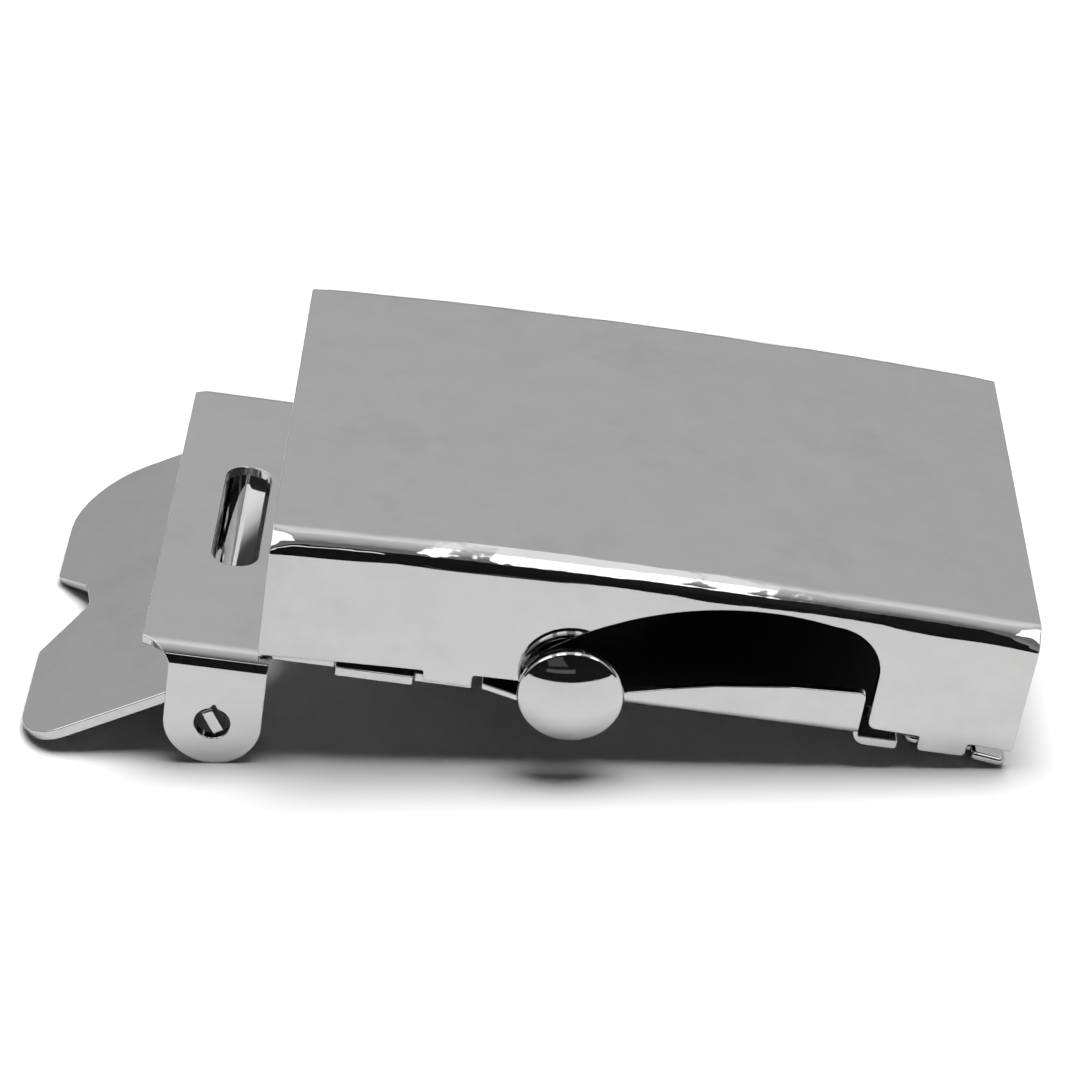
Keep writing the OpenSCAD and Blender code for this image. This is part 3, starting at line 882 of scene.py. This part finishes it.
def plate_corners(case, clamp):
    """Near half of the clamp plate's blank, with its ear laid flat."""
    half = case.width / 2
    flat = half - clamp.bend
    foot_y, tongue_y = foot_edge(case, clamp), tongue_edge(case, clamp)
    ear_left, ear_right = (clamp.hinge_x + side * clamp.ear_width / 2 for side in (-1, 1))
    ear_y = -wall_across(ear_round_depth(clamp) - clamp.depth, half, clamp.bend)
    corner, corner_r, steps = clamp.left + 0.2 * MM, 0.25 * MM, 6
    slant = []
    for k in range(1, steps + 1):
        angle = QUARTER * k / steps
        x = corner + (ear_left - corner) * math.sin(angle)
        slant.append((x, -flat - clamp.bend * angle, 0))
    return [
        (clamp.left, -flat, corner_r),
        *slant,
        *arc(clamp.hinge_x, ear_y, clamp.ear_width / 2, 180, 360, steps=28),
        (ear_right, -flat, EASED),
        (clamp.foot_left, -flat, TIGHT),
        (clamp.foot_left, -foot_y, EASED),
        (clamp.foot_right, -foot_y, EASED),
        (clamp.foot_right, -tongue_y, TIGHT),
        (clamp.tongue_right, -tongue_y, EASED),
    ]


def ear_hole(clamp, y):
    """Outline of an ear's pivot hole on the blank, with the nick on its upper side."""
    side = 1 if y < 0 else -1
    start, end, nick_depth, nick_half = 78, -258, 0.35 * MM, 0.07 * MM
    hole = arc(clamp.hinge_x, y, clamp.ear_hole, start * side, end * side, steps=30)
    tip = y + side * (clamp.ear_hole + nick_depth)
    nick = [(clamp.hinge_x - nick_half, tip, 0), (clamp.hinge_x + nick_half, tip, 0)]
    return rounded(hole + nick if side > 0 else nick + hole[::-1])


class BUCKLE_OT_clamp_plate(Operator):
    """Makes the clamp plate with its slot, its ears and the ear for the hinge pin"""

    bl_idname = "buckle.clamp_plate"
    bl_label = "Clamp Plate"

    def execute(self, context):
        scene = context.scene
        case, clamp, release = scene.buckle_case, scene.buckle_clamp, scene.buckle_release
        rest, _ = resting(scene)
        half = case.width / 2
        near = plate_corners(case, clamp)
        slot_x, slot_y = clamp.slot_width / 2, clamp.slot_length / 2
        slot = [(clamp.slot_x + x * slot_x, y * slot_y, clamp.slot_corner)
                for x, y in ((-1, -1), (-1, 1), (1, 1), (1, -1))]
        hole_y = wall_across(clamp.hinge_depth - clamp.depth, half, clamp.bend)
        loops = [rounded(near + mirrored(near)), rounded(slot), ear_hole(clamp, -hole_y),
                 ear_hole(clamp, hole_y)]
        fold_limit = (clamp.hinge_x + clamp.ear_width / 2 + clamp.foot_left) / 2
        jog_width = 0.15 * MM
        jog = tongue_edge(case, clamp) - jog_width

        def place(p):
            y, z = p.y, p.z
            if p.x < fold_limit:
                y, z = channel(p.y, -p.z, half, clamp.bend)
            elif p.x < clamp.foot_right + 2 * PROBE:
                z += clamp.foot_rise * min(1, max(0, (abs(p.y) - jog) / jog_width))
            return rest @ Vector((p.x, y, z - clamp.depth))

        folds = fold_places(half - clamp.bend, clamp.bend) + [jog, jog + jog_width]
        cuts = lines_at("y", both_sides(folds)) + lines_at("x", [fold_limit])
        shell = Shell()
        shell.sheet(loops, clamp.sheet, clamp.rim, place, cuts)
        pin_ear(shell, scene, rest, clamp.tongue_right - release.ear_sheet)
        thing = shell.piece("clamp_plate_shell", [finish_of("bright_plating")])
        settle(thing, "frame", "clamp", "clamp_plate")
        return {"FINISHED"}


def flap_bend_start(clamp):
    """Where the clamp lever's bend starts on its blank, from the hinge towards the tip."""
    return clamp.flap_bend - clamp.flap_sheet / 2


def clamp_place(clamp, matrix):
    """Bends the clamp lever's blank: along it runs from the arm over the bend to the tip."""
    bend_x, bend_z = flap_bend_start(clamp), clamp.flap_rise - clamp.flap_bend

    def place(p):
        run, depth = bend_x - p.x, -p.z
        if run <= 0:
            return matrix @ Vector((p.x, p.y, clamp.flap_rise - depth))
        angle, arm = run / clamp.flap_bend, clamp.flap_bend - depth
        if angle < QUARTER:
            return matrix @ Vector(
                (bend_x - arm * math.sin(angle), p.y, bend_z + arm * math.cos(angle))
            )
        down = run - clamp.flap_bend * QUARTER
        return matrix @ Vector((bend_x - arm, p.y, bend_z - down))

    return place


class BUCKLE_OT_clamp_lever(Operator):
    """Makes the clamp lever with its notched tip and trunnions, and its row of teeth"""

    bl_idname = "buckle.clamp_lever"
    bl_label = "Clamp Lever"

    def execute(self, context):
        scene = context.scene
        case, clamp = scene.buckle_case, scene.buckle_clamp
        _, matrix = resting(scene)
        arm_x = flap_bend_start(clamp) - clamp.flap_bend * QUARTER
        end_x = arm_x - (clamp.flap_rise - clamp.flap_bend) - clamp.arm_foot
        trunnion_y = case.width / 2 - clamp.trunnion_inset
        side = clamp.flap_width / 2
        tip, floor = clamp.reach, clamp.reach - clamp.notch_depth
        floor_slant, mouth_r, floor_r, rim = 0.8 * MM, 0.9 * MM, 1.3 * MM, 0.12 * MM
        root = [(end_x, -trunnion_y, EASED), (arm_x, -trunnion_y, EASED), (arm_x, -side, TIGHT)]
        edge = [
            (tip, -side, clamp.far_corner),
            (tip, -clamp.far_mouth, mouth_r),
            (floor + floor_slant, -clamp.far_floor, floor_r),
            (floor, clamp.near_floor, floor_r),
            (tip, clamp.near_mouth, mouth_r),
            (tip, side, clamp.near_corner),
        ]
        shell = Shell()
        outline = rounded(root + edge + mirrored(root), steps=8)
        cuts = lines_at("x", fold_places(arm_x, clamp.flap_bend))
        shell.sheet([outline], clamp.flap_sheet, rim, clamp_place(clamp, matrix), cuts)
        plating = finish_of("bright_plating")
        settle(shell.piece("clamp_lever_shell", [plating]), "clamp", "clamp", "clamp_lever")
        settle(toothed_row(clamp, matrix, plating), "clamp", "clamp")
        return {"FINISHED"}


def new_tree(name, result, inputs):
    """A Geometry Nodes tree with its named inputs and its one result."""
    tree = bpy.data.node_groups.new(name, "GeometryNodeTree")
    for key, kind in inputs.items():
        tree.interface.new_socket(key, in_out="INPUT", socket_type=f"NodeSocket{kind}")
    tree.interface.new_socket(result, in_out="OUTPUT", socket_type="NodeSocketGeometry")
    return tree


def coat(recipe, geometry, material, result):
    """Ends a tree: makes its instances real, coats them and hands them out."""
    real = recipe.node("GeometryNodeRealizeInstances", Geometry=geometry)
    coated = recipe.node("GeometryNodeSetMaterial", Geometry=real.outputs[0], Material=material)
    recipe.node("NodeGroupOutput", **{result: coated.outputs[0]})


def toothed_row(clamp, matrix, material):
    """Teeth as one plain mesh: a Geometry Nodes tree repeats one tooth along a line."""
    crest, foot, top = clamp.tooth_reach, clamp.flap_rise - 0.1 * MM, clamp.flap_rise
    back, slope, crest_half, corner_r, rim = 0.3 * MM, 1.1 * MM, 0.1 * MM, 0.06 * MM, 0.05 * MM
    profile = [
        (crest - back, foot, corner_r),
        (crest + slope, foot, corner_r),
        (crest - crest_half, top + clamp.tooth_height, corner_r),
        (crest - back, top + clamp.tooth_height, corner_r),
    ]
    width = clamp.tooth_width
    shell = Shell()
    shell.sheet([rounded(profile, steps=3)], width, rim, standing(Matrix(), width / 2))
    tooth = shell.piece("clamp_tooth", [material])
    inputs = {"Tooth": "Geometry", "Count": "Int", "Start": "Vector", "Pitch": "Vector",
              "Plating": "Material"}
    tree = new_tree("tooth_row", "Row", inputs)
    recipe = Recipe(tree)
    given = recipe.node("NodeGroupInput").outputs
    line = recipe.node(
        "GeometryNodeMeshLine",
        Count=given["Count"],
        Start_Location=given["Start"],
        Offset=given["Pitch"],
    )
    row = recipe.node(
        "GeometryNodeInstanceOnPoints", Points=line.outputs[0], Instance=given["Tooth"]
    )
    coat(recipe, row.outputs[0], given["Plating"], "Row")
    values = {
        "Count": clamp.teeth,
        "Start": (0, -(clamp.teeth - 1) / 2 * clamp.tooth_pitch, 0),
        "Pitch": (0, clamp.tooth_pitch, 0),
        "Plating": material,
    }
    return grown(tooth, tree, values, "clamp_teeth", matrix)


def grown(seed, tree, values, name, matrix):
    """Runs a Geometry Nodes tree on a seed object and keeps the result as a plain mesh."""
    modifier = seed.modifiers.new(name, "NODES")
    modifier.node_group = tree
    for item in tree.interface.items_tree:
        if item.in_out == "INPUT" and item.name in values:
            modifier[item.identifier] = values[item.name]
    graph = bpy.context.evaluated_depsgraph_get()
    mesh = bpy.data.meshes.new_from_object(seed.evaluated_get(graph), depsgraph=graph)
    if not mesh.polygons:
        raise RuntimeError(f"{name} came out empty")
    mesh.name = name
    mesh.transform(matrix)
    bpy.data.objects.remove(seed)
    return linked(name, mesh)


class BUCKLE_OT_entry_lip(Operator):
    """Makes the lip under the strap's way in, with the other ear for the hinge pin"""

    bl_idname = "buckle.entry_lip"
    bl_label = "Entry Lip"

    def execute(self, context):
        scene = context.scene
        case, clamp, entry = scene.buckle_case, scene.buckle_clamp, scene.buckle_entry
        rest, _ = resting(scene)
        tongue_y, foot_y = tongue_edge(case, clamp), foot_edge(case, clamp)
        slope, radius, bend_cuts = entry.slope, 3 * MM, 4
        start = entry.bend_x - radius * math.tan(slope / 2)
        rise = (entry.right - start - radius * math.sin(slope)) / math.cos(slope)
        end = start + radius * slope + rise
        inner_r, shoulder_r, outer_r = 1.3 * MM, 0.45 * MM, 0.6 * MM
        near = [
            (entry.left, -tongue_y, inner_r),
            (entry.bend_x, -tongue_y, TIGHT),
            (entry.bend_x, -foot_y, shoulder_r),
            (end, -foot_y, outer_r),
        ]

        def place(p):
            run = p.x - start
            if run <= 0:
                return rest @ Vector((p.x, p.y, p.z - clamp.depth))
            angle = min(run / radius, slope)
            c, s, beyond = math.cos(angle), math.sin(angle), run - radius * angle
            x = start + (radius + p.z) * s + beyond * c
            z = (radius + p.z) * c - radius - beyond * s
            return rest @ Vector((x, p.y, z - clamp.depth))

        shell = Shell()
        outline = rounded(near + mirrored(near))
        bends = [start + radius * slope * k / bend_cuts for k in range(bend_cuts + 1)]
        cuts = lines_at("x", bends)
        shell.sheet([outline], clamp.sheet, entry.rim, place, cuts)
        pin_ear(shell, scene, rest, entry.left)
        thing = shell.piece("entry_lip_shell", [finish_of("bright_plating")])
        settle(thing, "frame", "case", "entry_lip")
        return {"FINISHED"}


def lever_corners(release, half):
    """Outline of the lever's blank: its near flange lies beyond the bend."""
    bottom = release.depth + release.sheet
    stop_near, shoulder_depth, shoulder_r = 3.6 * MM - half, 8.2 * MM, 0.5 * MM
    slope = [(-2.4, 11.3), (-1, 11), (2.4, 10.1), (5.7, 9.35), (11.7, 8.5)]
    slope_r = 2 * MM

    def edge(x, depth, radius=EASED):
        return (x, -wall_across(bottom - depth, half, release.bend), radius)

    boss_x, boss_z, boss_r = release.knob_x, release.knob_depth, 2.55 * MM
    boss = [edge(x, -y, 0) for x, y, _ in arc(boss_x, -boss_z, boss_r, 180, -26, steps=18)]
    foot, *rise = [(x * MM, depth * MM) for x, depth in slope]
    return [
        *boss,
        edge(*foot),
        *(edge(x, depth, slope_r) for x, depth in rise),
        edge(release.right, shoulder_depth, shoulder_r),
        (release.right, stop_near, TIGHT),
        (release.stop_right, stop_near, TIGHT),
        (release.stop_right, release.far, SOFT),
        (release.left, release.far, SOFT),
    ]


class BUCKLE_OT_release_lever(Operator):
    """Makes the release lever with its flange, pawl, stop tabs and rolled knuckles"""

    bl_idname = "buckle.release_lever"
    bl_label = "Release Lever"

    def execute(self, context):
        scene = context.scene
        release = scene.buckle_release
        rest, _ = resting(scene)
        half = scene.buckle_case.width / 2
        bottom, rim = release.depth + release.sheet, release.rim

        def place(p):
            y, z = p.y, p.z
            if p.y < 0:
                y, z = channel(p.y, -p.z, half, release.bend)
            return rest @ Vector((p.x, y, -z - bottom))

        shell = Shell()
        bends = [-b for b in fold_places(half - release.bend, release.bend)]
        outline = rounded(lever_corners(release, half))
        # The lever's side that faces into the case takes the dull finish that is painted nearly
        # black as painted shade
        shell.sheet([outline], release.sheet, rim, place, lines_at("y", bends + [0]), under=DULL_SHADED)
        pawl = rounded(self.pawl(release))
        shell.sheet([pawl], release.pawl_width, rim, standing(rest, release.pawl_width / 2))
        tab_width = 4 * MM
        for tab in (self.left_tab(release), self.stop_tab(release)):
            shell.sheet([rounded(tab)], tab_width, rim, standing(rest, tab_width - half))
        for left in (release.first_knuckle, release.second_knuckle):
            self.knuckle(shell, rest, release, left)
        finishes = [finish_of("bright_plating"), finish_of("dull_shaded_inside")]
        thing = shell.piece("release_lever_shell", finishes)
        settle(thing, "release", "release", "release_lever")
        return {"FINISHED"}

    def pawl(self, release):
        """Side of the pawl, from its sunken foot up to its blunt nose."""
        foot_width, sunk = 2.86 * MM, 0.3 * MM
        nose_back, nose_height, nose_r = 0.3 * MM, 0.9 * MM, 0.1 * MM
        root, foot_z = release.pawl_root, -release.depth - sunk
        tip, tip_z = release.pawl_tip, -release.depth + release.pawl_rise
        return [
            (root - foot_width, foot_z, 0),
            (root, foot_z, 0),
            (tip, tip_z, nose_r),
            (tip - nose_back, tip_z - nose_height, nose_r),
        ]

    def left_tab(self, release):
        """Side of the tab on the left, which dips and rises again to its end."""
        heel, elbow, end = release.left + 0.5 * MM, -9.2 * MM, -12.3 * MM
        upper, lower, end_upper, end_lower = (
            -release.depth - drop * MM for drop in (0.85, 1.4, 0.1, 0.65)
        )
        upper_r, lower_r, end_r = 0.6 * MM, 0.9 * MM, 0.1 * MM
        return [
            (heel, -release.depth - release.sheet, 0),
            (heel, -release.depth, TIGHT),
            (elbow, upper, upper_r),
            (end, end_upper, end_r),
            (end, end_lower, end_r),
            (elbow, lower, lower_r),
        ]

    def stop_tab(self, release):
        """Side of the stop tab on the right."""
        right, end, heel = release.right, release.stop_right, release.right - 0.4 * MM
        root, upper, lower = (-release.depth - drop * MM for drop in (0.1, 0.5, 1.3))
        return [
            (heel, root, 0),
            (heel, lower, 1.1 * MM),
            (end, lower, 0.25 * MM),
            (end, upper, 0.15 * MM),
            (right, upper, 0.1 * MM),
            (right, root, 0),
        ]

    def knuckle(self, shell, rest, release, left):
        """One rolled knuckle round the hinge pin."""
        clearance, inner_r, outer_r = 0.05 * MM, 0.1 * MM, 0.15 * MM
        inner, outer = release.pin_diameter / 2 + clearance, release.knuckle_radius
        end = left + release.knuckle_length
        section = rounded([(left, inner, inner_r), (end, inner, inner_r),
                           (end, outer, outer_r), (left, outer, outer_r)], steps=3)
        axis = Vector((0, release.pin_y, -release.pin_depth))
        shell.turned(section, lambda p: rest @ (axis + p), steps=40, closed=True)


class BUCKLE_OT_release_knob(Operator):
    """Makes the domed knob with the stem that goes through the release lever"""

    bl_idname = "buckle.release_knob"
    bl_label = "Release Knob"

    def execute(self, context):
        scene = context.scene
        release = scene.buckle_release
        rest, _ = resting(scene)
        wall = scene.buckle_case.width / 2
        back, front = release.knob_gap, release.knob_gap + release.knob_length
        r, stem, dome = release.knob_diameter / 2, release.stem_radius, release.knob_dome
        bezel, stem_end, crown_steps = 1.2 * release.knob_rim, 0.3 * MM, 24
        stem_r, root_r = TIGHT, 0.1 * MM
        dome_r = (r * r + dome * dome) / (2 * dome)
        middle = front + dome - dome_r
        rise = math.asin((r - bezel) / dome_r)
        crown = []
        for k in range(crown_steps + 1):
            angle = rise * (1 - k / crown_steps)
            along, radius = middle + dome_r * math.cos(angle), dome_r * math.sin(angle)
            crown.append((-along, radius, 0))
        shoulder = crown[0][0] + bezel * math.tan(rise)
        inner = release.sheet + stem_end
        profile = rounded([
            (inner, 0, 0),
            (inner, stem, stem_r),
            (-back, stem, root_r),
            (-back, r, release.knob_back),
            (shoulder, r, release.knob_rim),
            *crown,
        ], steps=8)
        axis = Vector((release.knob_x, -wall, -release.knob_depth))

        def place(p):
            return rest @ (axis + Vector((p.y, p.x, p.z)))

        shell = Shell()
        shell.turned(profile, place, steps=96)
        thing = shell.piece("release_knob_turned", [finish_of("knob_plating")])
        settle(thing, "release", "knob", "release_knob")
        return {"FINISHED"}


class BUCKLE_OT_lever_pin(Operator):
    """Makes the hinge pin of the release lever"""

    bl_idname = "buckle.lever_pin"
    bl_label = "Lever Pin"

    def execute(self, context):
        release = context.scene.buckle_release
        rest, _ = resting(context.scene)
        r, end_r = release.pin_diameter / 2, 0.25 * MM
        left, right = release.pin_left, release.pin_right
        profile = rounded([(right, 0, 0), (right, r, end_r), (left, r, end_r), (left, 0, 0)])
        axis = Vector((0, release.pin_y, -release.pin_depth))
        shell = Shell()
        shell.turned(profile, lambda p: rest @ (axis + p), steps=32)
        thing = shell.piece("lever_pin_rod", [finish_of("drawn_steel")])
        settle(thing, "frame", "inner_steel", "lever_pin")
        return {"FINISHED"}


class BUCKLE_OT_lever_spring(Operator):
    """Makes the torsion spring round the hinge pin, as one wire along its path"""

    bl_idname = "buckle.lever_spring"
    bl_label = "Lever Spring"

    def execute(self, context):
        release = context.scene.buckle_release
        rest, _ = resting(context.scene)
        path = bpy.data.curves.new("spring_path", "CURVE")
        path.dimensions = "3D"
        spline = path.splines.new("POLY")
        points = self.wire_path(release)
        spline.points.add(len(points) - 1)
        for point, spot in zip(spline.points, points):
            point.co = (*spot, 1)
        seed = linked("spring_path", path)
        inputs = {"Path": "Geometry", "Radius": "Float", "Steel": "Material"}
        tree = new_tree("wire_along_path", "Wire", inputs)
        recipe = Recipe(tree)
        given = recipe.node("NodeGroupInput").outputs
        section = recipe.node(
            "GeometryNodeCurvePrimitiveCircle", Resolution=12, Radius=given["Radius"]
        )
        wire = recipe.node(
            "GeometryNodeCurveToMesh",
            Curve=given["Path"],
            Profile_Curve=section.outputs[0],
            Fill_Caps=True,
        )
        smooth = recipe.node("GeometryNodeSetShadeSmooth", Geometry=wire.outputs[0])
        coat(recipe, smooth.outputs[0], given["Steel"], "Wire")
        values = {"Radius": release.wire_radius, "Steel": finish_of("drawn_steel")}
        thing = grown(seed, tree, values, "lever_spring_wire", rest)
        settle(thing, "release", "inner_steel", "lever_spring")
        return {"FINISHED"}

    def wire_path(self, release):
        """Points of the wire: the hook through the lever, the coil and the upright leg."""
        left, y, z = release.coil_left, release.pin_y, -release.pin_depth
        r, turns, turn_steps = release.coil_radius, release.coil_turns + 0.25, 28
        hook_end, bend, bend_steps = 0.65 * MM, 0.45 * MM, 6
        hook_y, hook_z = y - release.leg_in, -release.depth - release.sheet - hook_end
        leg_z = z - r
        points = [Vector((left, hook_y, hook_z)), Vector((left, hook_y, leg_z - bend))]
        for k in range(1, bend_steps):
            angle = QUARTER * k / bend_steps
            points.append(Vector((left, hook_y + bend * (1 - math.cos(angle)),
                                  leg_z - bend * (1 - math.sin(angle)))))
        points.append(Vector((left, hook_y + bend, leg_z)))
        steps = int(turns * turn_steps)
        for k in range(steps + 1):
            angle = 2 * math.pi * turns * k / steps
            points.append(Vector((left + release.coil_length * k / steps,
                                  y + r * math.sin(angle), z - r * math.cos(angle))))
        points.append(Vector((left + release.coil_length, y + r, z + release.leg_up)))
        return points


# Stage

def paper(shade):
    """White paper with a faint tooth."""
    material, recipe = new_material("paper_floor")
    spot = recipe.node("ShaderNodeTexCoord").outputs["Object"]
    cloud = recipe.noise(spot, scale=18, detail=3.0)
    tooth = recipe.noise(spot, scale=1500)
    pulp = recipe.blend(cloud, rgba(shade), rgba(shade, 0.98))
    tooth_depth = 0.01 * MM
    bump = recipe.node("ShaderNodeBump", Strength=0.2, Distance=1.0, Height=tooth * tooth_depth)
    shader = recipe.node(
        "ShaderNodeBsdfPrincipled", Base_Color=pulp, Roughness=0.9, Normal=bump.outputs[0]
    )
    recipe.node("ShaderNodeOutputMaterial", Surface=shader.outputs[0])
    return material


def black_card():
    """Matt black card."""
    material, recipe = new_material("black_card")
    shader = recipe.node(
        "ShaderNodeBsdfPrincipled",
        Base_Color=(0.02, 0.02, 0.02, 1),
        Roughness=1.0,
        Specular_IOR_Level=0.0,
    )
    recipe.node("ShaderNodeOutputMaterial", Surface=shader.outputs[0])
    return material


def lit_panel(name, brightness):
    """A white panel that glows evenly."""
    material, recipe = new_material(name)
    glow = recipe.node("ShaderNodeEmission", Color=(1, 1, 1, 1), Strength=brightness)
    recipe.node("ShaderNodeOutputMaterial", Surface=glow.outputs[0])
    return material


def surround(world, strength):
    """A grey room that is bright overhead and dark on the side of the front."""
    world.use_nodes = True
    recipe = Recipe(world.node_tree)
    ray = recipe.node("ShaderNodeTexCoord").outputs["Generated"]
    parts = recipe.node("ShaderNodeSeparateXYZ", Vector=ray).outputs
    x, y, z = (Number(recipe, part) for part in parts)
    # Nought on the far horizon, a half overhead and one on the near horizon
    over = z.math("ARCTAN2", y) / math.pi
    stops = [(0.0, 0.34), (0.14, 0.6), (0.2, 0.66), (0.33, 0.95), (0.42, 1.1), (0.49, 0.78),
             (0.58, 0.6), (0.65, 0.42), (0.71, 0.19), (0.78, 0.22), (0.9, 0.36), (1.0, 0.42)]
    room = recipe.node("ShaderNodeValToRGB", {"stops": stops}, Fac=over).outputs[0]
    end_stops = [(0.0, 0.3), (0.25, 0.42), (0.8, 0.75)]
    end = recipe.node("ShaderNodeValToRGB", {"stops": end_stops}, Fac=z).outputs[0]
    shade = recipe.blend(recipe.between(x.math("ABSOLUTE"), 0.55, 0.95), room, end)
    light = recipe.node("ShaderNodeBackground", Color=shade, Strength=strength)
    recipe.node("ShaderNodeOutputWorld", Surface=light.outputs[0])


def flat_panel(name, spots, material):
    """A four-sided panel of the stage."""
    mesh = bpy.data.meshes.new(name)
    mesh.from_pydata(spots, [], [(0, 1, 2, 3)])
    mesh.materials.append(material)
    thing = linked(name, mesh)
    return thing


def hide_all_but_glossy(thing):
    """Leaves a panel to the metal's reflections alone."""
    thing.visible_camera = False
    thing.visible_diffuse = False
    thing.visible_shadow = False


class BUCKLE_OT_stage(Operator):
    """Sets up the paper floor, the soft light and the camera"""

    bl_idname = "buckle.stage"
    bl_label = "Stage"

    def execute(self, context):
        scene = context.scene
        studio = scene.buckle_studio
        reach = 1.5
        spots = [(-reach, -reach, 0), (reach, -reach, 0), (reach, reach, 0), (-reach, reach, 0)]
        flat_panel("floor", spots, paper(list(studio.floor)))
        self.flags()
        self.overhead(studio)
        self.panels()
        if scene.world is None:
            scene.world = bpy.data.worlds.new("surround")
        surround(scene.world, studio.surround)
        scene.world.cycles_visibility.diffuse = False
        scene.view_settings.view_transform = "Standard"
        self.camera(scene, studio)
        return {"FINISHED"}

    def flags(self):
        """Black cards in front of the buckle that only its reflections show."""
        material = black_card()
        for name, near, left, right, low, high in (
            ("low_flag", -0.067, -0.16, 0.16, 0, 0.026),
            ("front_flag", -0.045, -0.046, 0.05, 0.0124, 0.0395),
        ):
            spots = [(left, near, low), (right, near, low), (right, near, high),
                     (left, near, high)]
            hide_all_but_glossy(flat_panel(name, spots, material))

    def overhead(self, studio):
        """The soft light over the buckle, which the floor shows and the metal doesn't."""
        light = bpy.data.lights.new("overhead", "AREA")
        light.shape = "ELLIPSE"
        light.size, light.size_y = 0.52, 0.38
        light.energy = studio.key
        thing = linked("overhead", light)
        thing.location = (0.09, 0.07, 0.6)
        thing.visible_glossy = False

    def panels(self):
        """Lit panels overhead and in front, which only the metal's reflections show."""
        high, near, seam, far = 0.6, -0.5, -0.06, 0.64
        foot_y, foot_z, close = -0.62, 0.17, -0.0445
        bright, soft, strip, bar, card = 2.6, 1.45, 1.4, 0.16, 0.1
        panels = {
            "front_panel": (bright, (0.084, near, high), (0.198, near, high),
                            (0.19, foot_y, foot_z), (0.08, foot_y, foot_z)),
            "low_strip": (strip, (-0.055, close, 0.0317), (-0.009, close, 0.0317),
                          (-0.009, close, 0.0344), (-0.055, close, 0.0344)),
            "lower_bar": (bar, (-0.007, close, 0.0092), (0.006, close, 0.0094),
                          (0.006, close, 0.0112), (-0.007, close, 0.0108)),
            "lower_card": (card, (-0.006, close, 0.0122), (0.003, close, 0.0127),
                           (0.0, close, 0.0166), (-0.007, close, 0.016)),
        }
        for side, left, right in (
            ("far_left", -0.9, -0.38),
            ("left", -0.27, -0.08),
            ("middle", 0.084, 0.198),
            ("right", 0.42, 0.7),
        ):
            for row, brightness, start, end in (
                ("near", bright, near, seam),
                ("back", soft, seam, far),
            ):
                panels[f"{side}_{row}_panel"] = (
                    brightness, (left, start, high), (right, start, high),
                    (right, end, high), (left, end, high)
                )
        for name, (brightness, *spots) in panels.items():
            hide_all_but_glossy(flat_panel(name, spots, lit_panel(name, brightness)))

    def camera(self, scene, studio):
        """The camera at the photograph's angle."""
        lens = bpy.data.cameras.new("camera")
        lens.lens, lens.sensor_width = studio.focal, 36
        lens.clip_start, lens.clip_end = 0.01, 10
        thing = linked("camera", lens)
        spot = Vector((6.805, -226.81, 154.825)) * MM
        lean = Euler([math.radians(angle) for angle in (57.284, 0.31, 1.218)])
        thing.matrix_world = Matrix.Translation(spot) @ lean.to_matrix().to_4x4()
        scene.camera = thing


class BUCKLE_PT_panel(Panel):
    """Lists the pieces and their sizes"""

    bl_idname = "BUCKLE_PT_panel"
    bl_label = "Ratchet Belt Buckle"
    bl_space_type = "VIEW_3D"
    bl_region_type = "UI"
    bl_category = "Buckle"

    def draw(self, context):
        layout, scene = self.layout, context.scene
        for operator in PIECES:
            layout.operator(operator.bl_idname)
        for name, group in GROUPS.items():
            box = layout.box()
            box.label(text=name.split("_", 1)[1].title())
            for key in group.__annotations__:
                box.prop(getattr(scene, name), key)


GROUPS = {
    "buckle_case": CaseSizes,
    "buckle_clamp": ClampSizes,
    "buckle_entry": EntrySizes,
    "buckle_release": ReleaseSizes,
    "buckle_finishes": Finishes,
    "buckle_studio": Studio,
}
PIECES = (
    BUCKLE_OT_case,
    BUCKLE_OT_clamp_plate,
    BUCKLE_OT_clamp_lever,
    BUCKLE_OT_entry_lip,
    BUCKLE_OT_release_lever,
    BUCKLE_OT_release_knob,
    BUCKLE_OT_lever_pin,
    BUCKLE_OT_lever_spring,
    BUCKLE_OT_stage,
)


def register():
    """Adds the sizes, the operators and the panel to Blender."""
    for group in GROUPS.values():
        bpy.utils.register_class(group)
    for name, group in GROUPS.items():
        setattr(bpy.types.Scene, name, PointerProperty(type=group))
    for operator in PIECES:
        bpy.utils.register_class(operator)
    bpy.utils.register_class(BUCKLE_PT_panel)


def unregister():
    """Takes them out again."""
    bpy.utils.unregister_class(BUCKLE_PT_panel)
    for operator in reversed(PIECES):
        bpy.utils.unregister_class(operator)
    for name in GROUPS:
        delattr(bpy.types.Scene, name)
    for group in reversed(list(GROUPS.values())):
        bpy.utils.unregister_class(group)


def main():
    """Makes every piece and the stage."""
    register()
    for operator in PIECES:
        getattr(bpy.ops.buckle, operator.bl_idname.split(".")[1])()


if __name__ == "__main__":
    main()
